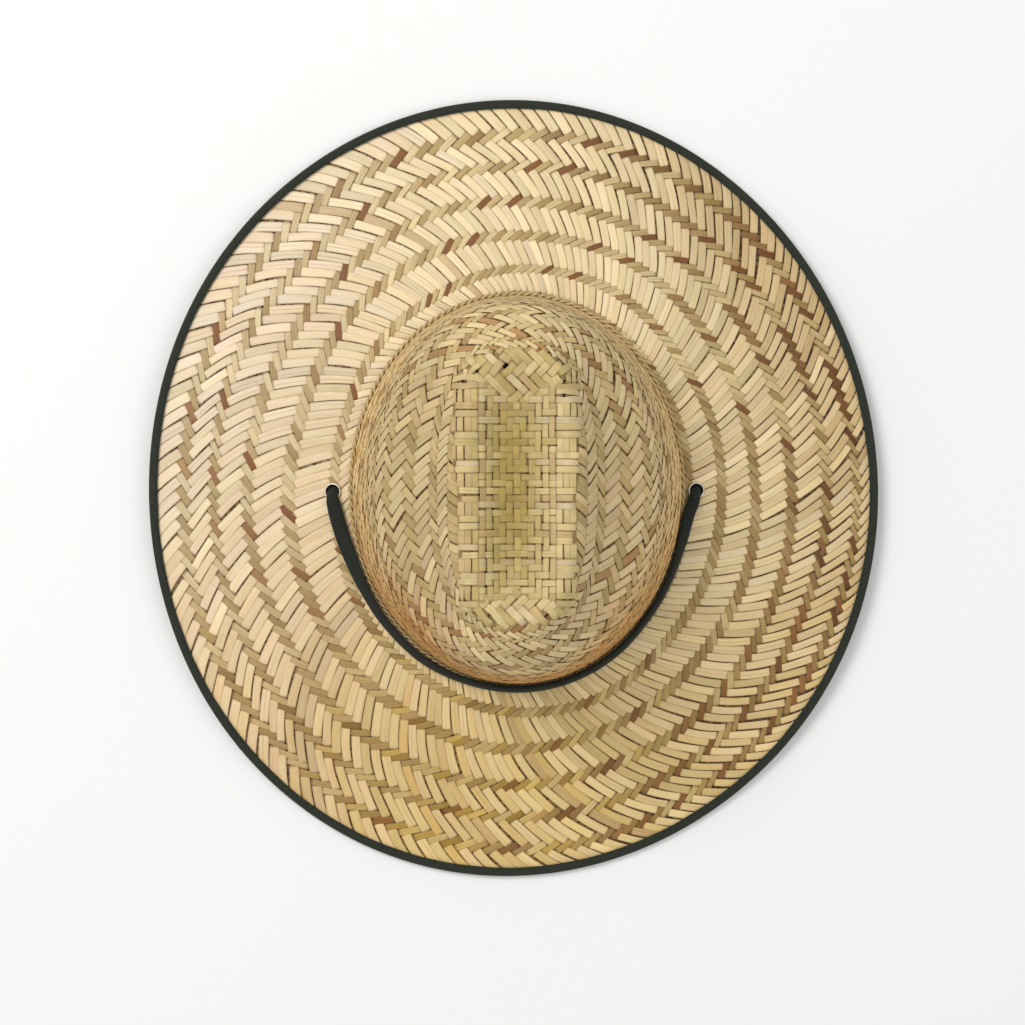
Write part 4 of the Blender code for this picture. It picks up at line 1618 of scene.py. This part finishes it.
@dataclass(frozen=True)
class Patch:
    """A flat weave of two square families, laid on top of the crown.

    Attributes:
        name: Name of the patch.
        angle: Direction of the first family from the hat's right, in degrees.
        pitch: Spacing of its ribbons.
        middle: Point in plan under the middle of the patch.
        reach: Ribbons on each side of the middle one.
        lift: Height of the patch over the straw's middle.
        over: Rule by line and by crossing, which gives 1 where the first family is on top.
        depth: Points in plan to the distance inside the patch's border.
    """

    name: str
    angle: float
    pitch: float
    middle: tuple[float, float]
    reach: int
    lift: float
    over: Callable[[np.ndarray, np.ndarray], np.ndarray]
    depth: Callable[[np.ndarray, np.ndarray], np.ndarray]

    @staticmethod
    def diamonds(line: np.ndarray, step: np.ndarray) -> np.ndarray:
        """Rule of nested diamonds in the middle, with rungs beside them.

        Args:
            line: Numbers of the first family's ribbons.
            step: Numbers of the second family's ribbons.

        Returns:
            1 where the first family is on top, and else -1.
        """
        wave = np.abs((line + 8) % 16 - 8)
        inner = (np.abs(step) + wave) % 4 < 2
        rungs = np.where(step > 0, (line + 1) % 5 < 3, line % 4 < 2) ^ (np.abs(step) == 5)
        return np.where(np.where(np.abs(step) >= 5, rungs, inner), 1.0, -1.0)

    @staticmethod
    def slanting(line: np.ndarray, step: np.ndarray) -> np.ndarray:
        """Rule of a twill that slants: 1 where the first family is on top, and else -1."""
        return np.where((line + step) % 5 < 2, 1.0, -1.0)

    @staticmethod
    def panel_depth(x: np.ndarray, y: np.ndarray) -> np.ndarray:
        """Border of the panel, which is wider and pointed at its front.

        Args:
            x: Places to the right.
            y: Places to the front.

        Returns:
            Distances inside the border.
        """
        off = np.abs(x - FORM.crown_shift[0])
        wide = 0.0288 + 0.0026 * eased((y + 0.01) / 0.05) + 0.0005 * np.sin(y / 0.0041)
        return np.minimum(wide - off, np.where(y > 0.0, 0.0415 + 0.55 * off - y, y + 0.0490 + 0.40 * off))

    @staticmethod
    def end_depth(x: np.ndarray, y: np.ndarray) -> np.ndarray:
        """Borders of the two end weaves, which are rounded outwards.

        Args:
            x: Places to the right.
            y: Places to the front.

        Returns:
            Distances inside the nearer border.
        """
        off = np.abs(x - FORM.crown_shift[0])
        far = 0.0665 - np.abs(y) - 6.5 * off ** 2
        near = np.where(y > 0.0, y - 0.0370 - 0.55 * off, -y - 0.0445 - 0.40 * off)
        return np.minimum(np.minimum(far, near), 0.0262 - off)


@dataclass
class Crown:
    """The woven crown: a round weave up to the ridges and square ones between them.

    Attributes:
        count: Strands in each family of the round weave.
        long_width: Width of a strand of the anticlockwise family, with its gap.
        short_width: Width of a strand of the clockwise family, with its gap.
        top_row: Ring at which the round weave ends.
        twill: Rule of the round weave.
        rows: Rows of the crown's surface.
        columns: Columns of it.
    """

    count: int = 72
    long_width: float = 0.0042
    short_width: float = 0.0038
    top_row: float = 14.3
    twill: Twill = Twill(repeat=5, over=(0, 1, 2), rise=0.00028, bow=0.00020)
    rows: int = 300
    columns: int = 720
    long_lots: tuple[StrawLot, ...] = (
        StrawLot((208, 186, 142), 0.30), StrawLot((200, 177, 134), 0.25), StrawLot((198, 173, 137), 0.16),
        StrawLot((195, 177, 130), 0.14), StrawLot((214, 195, 149), 0.12), StrawLot((164, 128, 84), 0.03))
    short_lots: tuple[StrawLot, ...] = (
        StrawLot((192, 168, 120), 0.34), StrawLot((181, 157, 107), 0.26), StrawLot((171, 149, 99), 0.18),
        StrawLot((166, 135, 90), 0.10), StrawLot((202, 180, 134), 0.09), StrawLot((148, 108, 68), 0.03))
    panel_lots: tuple[StrawLot, ...] = (
        StrawLot((198, 179, 128), 0.36), StrawLot((206, 187, 138), 0.24), StrawLot((187, 169, 112), 0.20),
        StrawLot((190, 165, 118), 0.12), StrawLot((202, 183, 144), 0.08))
    # Small holes that the weave leaves on top: x and y in metres
    holes: tuple[tuple[float, float], ...] = (
        (-0.0026, 0.0591), (-0.0169, 0.0557), (-0.0250, 0.0495), (0.0226, 0.0514), (0.0236, 0.0424),
        (-0.0131, -0.0620), (-0.0012, -0.0640), (0.0150, -0.0612))

    def sheet(self) -> Sheet:
        """The crown's surface by height share and by evenly spaced turn.

        Returns:
            The surface of the straw's middle.
        """
        shape = (self.rows, 4 * self.columns + 1)
        row = np.broadcast_to(np.linspace(0.0, self.top_row, self.rows)[:, None], shape)
        grid = FORM.crown(row, np.broadcast_to(np.linspace(0.0, TURN, shape[1]), shape))
        even = []
        for ring in grid:
            line = gone_along(ring)
            at = np.linspace(0.0, line[-1], self.columns + 1)[:-1]
            even.append(np.stack([np.interp(at, line, ring[:, n]) for n in range(3)], axis=1))
        even = np.array(even)
        climb = np.mean(np.linalg.norm(np.diff(even, axis=0), axis=2), axis=1)
        height = np.concatenate([[0.0], np.cumsum(climb)])
        places = np.linspace(0.0, height[-1], self.rows)
        low = np.clip(np.searchsorted(height, places, side="right") - 1, 0, self.rows - 2)
        part = ((places - height[low]) / (height[low + 1] - height[low]))[:, None, None]
        points = even[low] * (1 - part) + even[low + 1] * part
        turn = np.broadcast_to(np.linspace(0.0, TURN, self.columns + 1)[:-1], points.shape[:2])
        share = np.broadcast_to(np.linspace(0.0, 1.0, self.rows)[:, None], points.shape[:2])
        normals = Sheet(points, 0.0, 1.0).normal(share, turn)
        return Sheet(points - normals * FORM.straw_wall / 2, 0.0, 1.0)

    def lay(self, sheet: Sheet) -> Lay:
        """How the strands run: they keep their width, so they lean more where there is more room.

        Args:
            sheet: The crown's surface.

        Returns:
            The table of turns, counted outwards from the top, with whole levels there.
        """
        rows, turn = np.linspace(0.0, 1.0, 160)[:, None], np.linspace(0.0, TURN, 361)[None, :]
        points = sheet.at(*np.broadcast_arrays(rows, turn))
        round_way = np.linalg.norm(np.diff(points, axis=1), axis=2).sum(axis=1)
        climb = np.linalg.norm(np.diff(points, axis=0), axis=2).mean(axis=1)
        turns = []
        for width in (self.long_width, self.short_width):
            lean = np.tan(np.arccos(np.clip(width * self.count / round_way, 0.2, 0.975)))
            rate = lean / (round_way / TURN)
            turns.append(np.concatenate([[0.0], np.cumsum((rate[1:] + rate[:-1]) / 2 * climb)]))
        both = turns[0] + turns[1]
        levels = (both - both[-1]) * self.count / TURN + 60.0
        return Lay(rows[:, 0], levels, turns[0][-1] - turns[0], turns[1][-1] - turns[1])

    @staticmethod
    def tone_and_painted_light(points: np.ndarray) -> np.ndarray:
        """Painted shade and light by place on the crown: painted shade with warm bounce light makes the foot
        of the wall darker and orange, most at the back; the left side is darker, and the foot's sides and the
        top of the front are lighter.

        Args:
            points: Points on the crown.

        Returns:
            Shares of red, green and blue that it lacks there.
        """
        x, y, z = points[..., 0], points[..., 1], points[..., 2]
        back = eased((-y + 0.01) / 0.09)
        low = eased((0.082 + 0.034 * back - z) / 0.04)
        left = eased((-x - 0.02) / 0.03) * eased((z - 0.06) / 0.02)
        side = low * (1.0 - back) * eased(np.abs(x) / 0.05) * (1.0 + 0.5 * (x > 0.0))
        front = eased((y - 0.035) / 0.02) * eased((z - 0.10) / 0.01)
        # Painted shade at the foot, most at the back, and on the left; painted light on the foot's sides and
        # the top of the front.
        return lacking(((low * (0.16 + 0.84 * back), (0.04, 0.32, 0.58)), (left, (0.12, 0.12, 0.12)),
                        (side, (-0.15, -0.13, -0.10)), (front, (-0.07, -0.09, -0.09))))

    @staticmethod
    def foot(points: np.ndarray) -> np.ndarray:
        """How near points are to the foot of the wall, where the weave is pulled flat, from 0 to 1."""
        return eased((0.074 - points[..., 2]) / 0.03)

    @staticmethod
    def patches() -> list[Patch]:
        """The slanting weaves at the crown's two ends and the square one between them.

        Returns:
            The patches.
        """
        shift_x, shift_y = FORM.crown_shift
        return [Patch(name="panel_end", angle=45.0, pitch=0.0039, middle=(shift_x, 0.0), reach=18,
                      lift=0.00030, over=Patch.slanting, depth=Patch.end_depth),
                Patch(name="panel", angle=0.0, pitch=0.00335, middle=(shift_x, shift_y - 0.004), reach=20,
                      lift=0.00060, over=Patch.diamonds, depth=Patch.panel_depth)]

    def build(self) -> None:
        """Makes the round weave, the square weaves and the twined row."""
        sheet = self.sheet()
        lay = self.lay(sheet)
        patches = self.patches()

        def inside(points: np.ndarray) -> np.ndarray:
            """How far points lie inside the patches' borders."""
            deepest = np.max([patch.depth(points[..., 0], points[..., 1]) for patch in patches], axis=0)
            return np.where(points[..., 2] > 0.1, deepest, -1.0)

        def sink(points: np.ndarray) -> np.ndarray:
            """How far the round weave dives under the patches."""
            return 0.0011 * eased((inside(points) - 0.0005) / 0.0035)

        straw = StrawFinish(Slot.CROWN, "crown_straw_strips").make()
        for name, lean, base, lots, seed in (
                ("crown_long_straws", Lean.ANTICLOCKWISE, 0.925, self.long_lots, 21),
                ("crown_short_straws", Lean.CLOCKWISE, 0.955, self.short_lots, 22)):
            # The painted shade on the covered parts is weaker at the foot of the wall.
            family = Family(sheet, self.twill, lay, lean, self.count,
                            lambda points, base=base: base + (1.03 - base) * self.foot(points), lots, seed,
                            self.tone_and_painted_light, lambda points: 1.0 - 0.45 * self.foot(points), sink=sink,
                            kept=lambda points: inside(points) < 0.0045, in_float=0.6)
            on_hat(family.strands().mesh(name), straw, "crown")
        for number, patch in enumerate(patches):
            for first in (True, False):
                ribbons = self.ribbons(patch, first, 31 + 2 * number + first)
                on_hat(ribbons.mesh(f"{patch.name}_{'first' if first else 'second'}_straws"), straw, "crown")
        # The twined row's painted shade, where a ply turns under, has a strength of 0.75.
        on_hat(self.twined_row(), StrawFinish(Slot.CROWN, "twined_straw", 0.75).make(), "crown")

    def top(self, x: np.ndarray, y: np.ndarray) -> tuple[np.ndarray, np.ndarray]:
        """Middle of the straw between the ridges.

        Args:
            x: Places to the right.
            y: Places to the front.

        Returns:
            Points there and unit vectors square to the surface.
        """
        apart, step = 0.0012, 0.0008
        spread = [(dx, dy) for dx in (-apart, 0.0, apart) for dy in (-apart, 0.0, apart)]

        def height(a: np.ndarray, b: np.ndarray) -> np.ndarray:
            """Height of the surface, with its corners eased."""
            return np.mean([FORM.crown_top(a + dx, b + dy) for dx, dy in spread], axis=0)

        z = height(x, y)
        slope_x = (height(x + step, y) - height(x - step, y)) / (2 * step)
        slope_y = (height(x, y + step) - height(x, y - step)) / (2 * step)
        normal = unit(np.stack([-slope_x, -slope_y, np.ones_like(z)], axis=-1))
        return np.stack([x, y, z], axis=-1) - normal * FORM.straw_wall / 2, normal

    def ribbons(self, patch: Patch, first: bool, seed: int) -> Strands:
        """Ribbons of one family of a patch.

        Args:
            patch: The patch.
            first: Whether this is its first family.
            seed: Seed of what varies from ribbon to ribbon.

        Returns:
            The ribbons, which dive under the weave round the patch at its border.
        """
        border = 0.0022
        rng = np.random.default_rng(seed)
        lines = np.arange(-patch.reach, patch.reach + 1)
        steps = np.sort(np.concatenate([lines - 0.27, lines + 0.27]))
        line = np.broadcast_to(lines[:, None], (len(lines), len(steps)))
        step = np.broadcast_to(np.round(steps).astype(int)[None, :], line.shape)
        over = patch.over(line, step) if first else -patch.over(step, line)
        turn = math.radians(patch.angle)
        forward = np.array([math.cos(turn), math.sin(turn)])
        sideways = np.array([-forward[1], forward[0]])
        own, other = (sideways, forward) if first else (forward, sideways)
        waves, phase = rng.uniform(0.12, 0.3, (len(lines), 1)), rng.uniform(0, TURN, (len(lines), 1))
        bend = 0.22 * np.sin(steps[None, :] * waves + phase)
        a = line + bend * 0.5 + rng.normal(0.0, 0.05, (len(lines), 1))
        for hole in self.holes:
            # A hole opens where four ribbons meet.
            from_middle = (np.array(hole) - np.array(patch.middle)) / patch.pitch
            off_line = line - (np.floor(from_middle @ own) + 0.5)
            off_step = steps[None, :] - (np.floor(from_middle @ other) + 0.5)
            a = a + 0.30 * np.sign(off_line) * np.exp(-(off_line ** 2 + off_step ** 2) / 0.7)
        a = a * patch.pitch
        plan = (np.array(patch.middle) + a[..., None] * own
                + np.broadcast_to(steps * patch.pitch, a.shape)[..., None] * other)
        x, y = plan[..., 0], plan[..., 1]
        inside = patch.depth(x, y) + rng.uniform(-0.0020, 0.0012, (len(lines), 1))
        on_sheet, normals = self.top(x, y)
        dive = eased(-inside / border + 0.35)
        lift = 0.00028 * over + patch.lift - 0.0021 * dive
        centres = on_sheet + normals * lift[..., None]
        each = np.clip(rng.normal(0.96, 0.04, (len(lines), 1)), 0.84, 1.02)
        half = patch.pitch / 2 * each * (1 - 0.05 * (over < 0))
        tints = draw_lots(self.panel_lots, len(lines), rng)[:, None, :]
        mottle = np.repeat(rng.normal(1.0, 0.045, (len(lines), len(lines))), 2, axis=1)
        # Painted shade in the crease between the ridges, and partly older, browner straw: the panel's middle
        # is darker and browner.
        inner = (eased(1.0 - np.abs(x) / 0.021) * eased(1.3 - np.abs(y) / 0.05))[..., None]
        tints = tints * mottle[..., None] * (1.0 - inner * np.array([0.38, 0.42, 0.66]))
        # Painted shade where a ribbon is under the other family or dives under the border.
        cover = np.maximum((over < 0) * 0.85, dive)
        seeds = rng.uniform(0.0, 60.0, len(lines))
        return Strands(centres, normals, half, tints, cover, seeds, inside > -border)

    def twined_row(self) -> bpy.types.Object:
        """Two straws twisted round each other along the foot of the crown.

        Returns:
            The object.
        """
        twists, per_twist, sides = 72, 8, 6
        twist_radius, straw_radius = 0.0006, 0.00066
        count = twists * per_twist
        plan = FORM.seat(np.arange(count) / count * TURN, twist_radius)
        centre = np.concatenate([plan, np.full((count, 1), FORM.crown_base() + 0.0004)], axis=1)
        ahead = unit(np.roll(centre, -1, axis=0) - np.roll(centre, 1, axis=0))
        out = unit(np.cross(ahead, np.array([0.0, 0.0, 1.0])))
        up = np.cross(out, ahead)
        around = np.arange(sides) / sides * TURN
        across, along = 0.2 + 0.6 * np.arange(sides + 1) / sides, 0.4 * np.arange(count + 1)
        bm = bmesh.new()
        bm.loops.layers.uv.new(LAY)
        tint = bm.verts.layers.float_color.new("tint")
        cover, seed = (bm.verts.layers.float.new(name) for name in ("cover", "seed"))
        for ply in (0.0, math.pi):
            turn = np.arange(count) / per_twist * TURN + ply
            middle = centre + twist_radius * (out * np.cos(turn)[:, None] + up * np.sin(turn)[:, None])
            sections = middle[:, None, :] + straw_radius * (
                out[:, None, :] * np.cos(around)[:, None] + up[:, None, :] * np.sin(around)[:, None])
            for number, ring in enumerate(sweep(bm, sections, True, across, along)):
                for vert in ring:
                    vert[tint] = (*paint(204, 181, 132), 1.0)
                    # Painted shade: each ply is darker where it turns below the other.
                    vert[cover] = 0.45 - 0.45 * math.sin(turn[number % count])
                    vert[seed] = 3.2 + ply
        return mesh_object("twined_row", bm, 60.0)


@dataclass
class EdgeTape:
    """Tape folded over the brim's edge, and the stitches that hold it.

    Attributes:
        segments: Sections round the brim.
        wall: Thickness of the tape's own two walls.
        unevenness: How far its inner edge wanders.
        stitch: Length from one stitch to the next.
        stitch_inset: Distance of the stitches from the tape's inner edge.
        stitch_half: Half of a stitch's width and of its height.
    """

    segments: int = 480
    wall: float = 0.0006
    unevenness: float = 0.00018
    stitch: float = 0.0038
    stitch_inset: float = 0.0011
    stitch_half: tuple[float, float] = (0.00026, 0.00022)

    def build(self) -> None:
        """Makes the tape and its stitches."""
        finish = TapeFinish().make()
        on_hat(self.tape(), finish, "edge_binding")
        on_hat(self.stitches(), finish, "edge_binding")

    def tape(self) -> bpy.types.Object:
        """The folded tape, a little uneven along its edges.

        Returns:
            The object.
        """
        rng = np.random.default_rng(5)
        angle = np.arange(self.segments) / self.segments * TURN
        rim, outward, lift = FORM.rim(angle), FORM.outward(angle), FORM.edge_lift(angle)
        total, wall = FORM.edge_height(), self.wall
        phases = rng.uniform(0.0, TURN, 4)
        uneven = sum(np.sin(angle * n + p) for n, p in zip((9, 17, 31, 53), phases)) / 4
        width = FORM.tape_width + self.unevenness * uneven
        r = total / 2
        bends = np.linspace(math.pi / 2, -math.pi / 2, 9)
        fold = [(r * 0.9 * (1 - math.cos(t)), r + r * math.sin(t)) for t in bends]
        inner = [(wall + (r - wall) * 0.9 * (1 - math.cos(t)), r + (r - wall) * math.sin(t))
                 for t in bends[::-2]]
        sections = []
        for n, w in enumerate(width):
            puff = 0.00005 * math.sin(n * 2.1) * 0.5
            outline = np.array([
                (w, total - 0.00016), (w - 0.00025, total + puff), (w * 0.7, total + puff * 0.5), *fold,
                (w * 0.7, 0.0), (w - 0.00025, 0.0), (w, 0.00016), (w, wall - 0.00012), (w - 0.0002, wall),
                *inner, (w - 0.0002, total - wall), (w, total - wall + 0.00012)])
            plan = rim[n] - outward[n] * outline[:, :1]
            sections.append(np.concatenate([plan, lift[n] + outline[:, 1:]], axis=1))
        sections = np.array(sections)
        across = gone_along(np.vstack([sections[0], sections[0][:1]]))
        return sweep_piece("edge_tape", sections, True, across, gone_along(np.vstack([rim, rim[:1]])))

    def stitches(self) -> bpy.types.Object:
        """A row of small stitches near the tape's inner edge, joined into one mesh.

        Returns:
            The object.
        """
        fine = np.linspace(0.0, TURN, 2001)
        gone = gone_along(FORM.rim(fine))
        count = int(gone[-1] / self.stitch)
        at = np.interp((np.arange(count) + 0.5) / count * gone[-1], gone, fine)
        rim, outward, lift = FORM.rim(at), FORM.outward(at), FORM.edge_lift(at)
        half_width, half_height = self.stitch_half
        bm = bmesh.new()
        layer = bm.loops.layers.uv.new(LAY)
        for n in range(count):
            made = bmesh.ops.create_uvsphere(bm, u_segments=8, v_segments=4, radius=1.0)["verts"]
            out, up = Vector((*outward[n], 0.0)), Vector((0.0, 0.0, 1.0))
            size = Matrix((up.cross(out) * self.stitch * 0.38, out * half_width, up * half_height))
            place = (Vector((*rim[n], FORM.edge_height() + lift[n] + 0.00002))
                     - out * (FORM.tape_width - self.stitch_inset))
            bmesh.ops.transform(bm, matrix=Matrix.Translation(place) @ size.transposed().to_4x4(), verts=made)
        for face in bm.faces:
            for loop in face.loops:
                loop[layer].uv = loop.vert.co.xy
        return mesh_object("edge_stitches", bm, 60.0)


@dataclass
class Eyelets:
    """Two metal eyelets: a rolled lip above, a barrel and a flat washer below.

    Attributes:
        hole: Diameter of the hole.
        flange: Diameter of the lip.
        lip: Height of the lip.
        barrel_wall: Thickness of the barrel.
        places: Name of the node and of the piece, side and distance from the crown, and forward.
    """

    hole: float = 0.0068
    flange: float = 0.0088
    lip: float = 0.0006
    barrel_wall: float = 0.0004
    places: tuple[tuple[str, str, int, float, float], ...] = (
        ("eyelet_left", "eyelet_ring_left", -1, 0.0098, -0.0010),
        ("eyelet_right", "eyelet_ring_right", 1, 0.0072, -0.0005))

    def stand(self, side: int, from_crown: float, forward: float) -> Matrix:
        """Place of an eyelet, square to the brim on the straw's top.

        Args:
            side: 1 at the right and -1 at the left.
            from_crown: Distance from the crown.
            forward: Distance in front of the crown's middle.

        Returns:
            The matrix that stands it there.
        """
        angle = np.array([0.0 if side > 0 else math.pi])
        x = float(FORM.seat(angle)[0, 0]) + side * from_crown
        seat = float(FORM.brim(angle, np.array([0.0]))[0, 0])
        tape = float(FORM.brim(angle, np.array([1.0]))[0, 0])

        def top_at(distance: float) -> float:
            """Height of the straw's top at a distance to the right."""
            out = np.array([(distance - seat) / (tape - seat)])
            return float(FORM.brim(angle, out)[0, 2]) + FORM.straw_wall / 2

        step = self.flange / 2
        slope = (top_at(x + step) - top_at(x - step)) / (2 * step)
        normal = Vector((-slope, 0.0, 1.0)).normalized()
        ahead = Vector((0.0, 1.0, 0.0))
        level = max((top_at(x + step) + top_at(x - step)) / 2, top_at(x))
        turn = Matrix((ahead.cross(normal), ahead, normal)).transposed().to_4x4()
        return Matrix.Translation((x, FORM.crown_shift[1] + forward, level)) @ turn

    def stands(self) -> list[Matrix]:
        """Matrices of both eyelets."""
        return [self.stand(*place[2:]) for place in self.places]

    def build(self) -> None:
        """Makes both eyelets."""
        finish = MetalFinish().make()
        for (node, name, *_), stand in zip(self.places, self.stands()):
            on_hat(self.eyelet(name, stand), finish, node)

    def eyelet(self, name: str, stand: Matrix) -> bpy.types.Object:
        """One eyelet, turned about its axis from a rounded profile.

        Args:
            name: Name of the piece.
            stand: Matrix that stands it in its place.

        Returns:
            The object.
        """
        inner, outer = self.hole / 2, self.flange / 2
        barrel = inner + self.barrel_wall
        top, under = FORM.play, -FORM.straw_wall - 1.5 * FORM.play
        mid, r = (inner + outer) / 2, (outer - inner) / 2
        profile = [(mid - r * math.cos(t), top + 0.00005 + self.lip * 1.25 * math.sin(t))
                   for t in np.linspace(0.0, math.pi, 11)]
        profile += [(outer - 0.00008, top), (barrel, top), (barrel, under), (outer - 0.0001, under),
                    (outer, under - self.lip * 0.4), (outer - 0.0003, under - self.lip),
                    (inner + 0.0003, under - self.lip), (inner, under - self.lip * 0.5)]
        closed = [(radius, 0.0, height) for radius, height in profile + profile[:1]]
        return turned(name, closed, Vector((0, 0, 1)), 56, stand, 40.0)


def main() -> None:
    """Builds the studio and the hat, piece by piece."""
    logging.basicConfig(level=logging.INFO, format="%(name)s: %(message)s")
    for assembly in (Studio, ChinCord, Brim, Crown, EdgeTape, Eyelets):
        assembly().build()


if __name__ == "__main__":
    main()
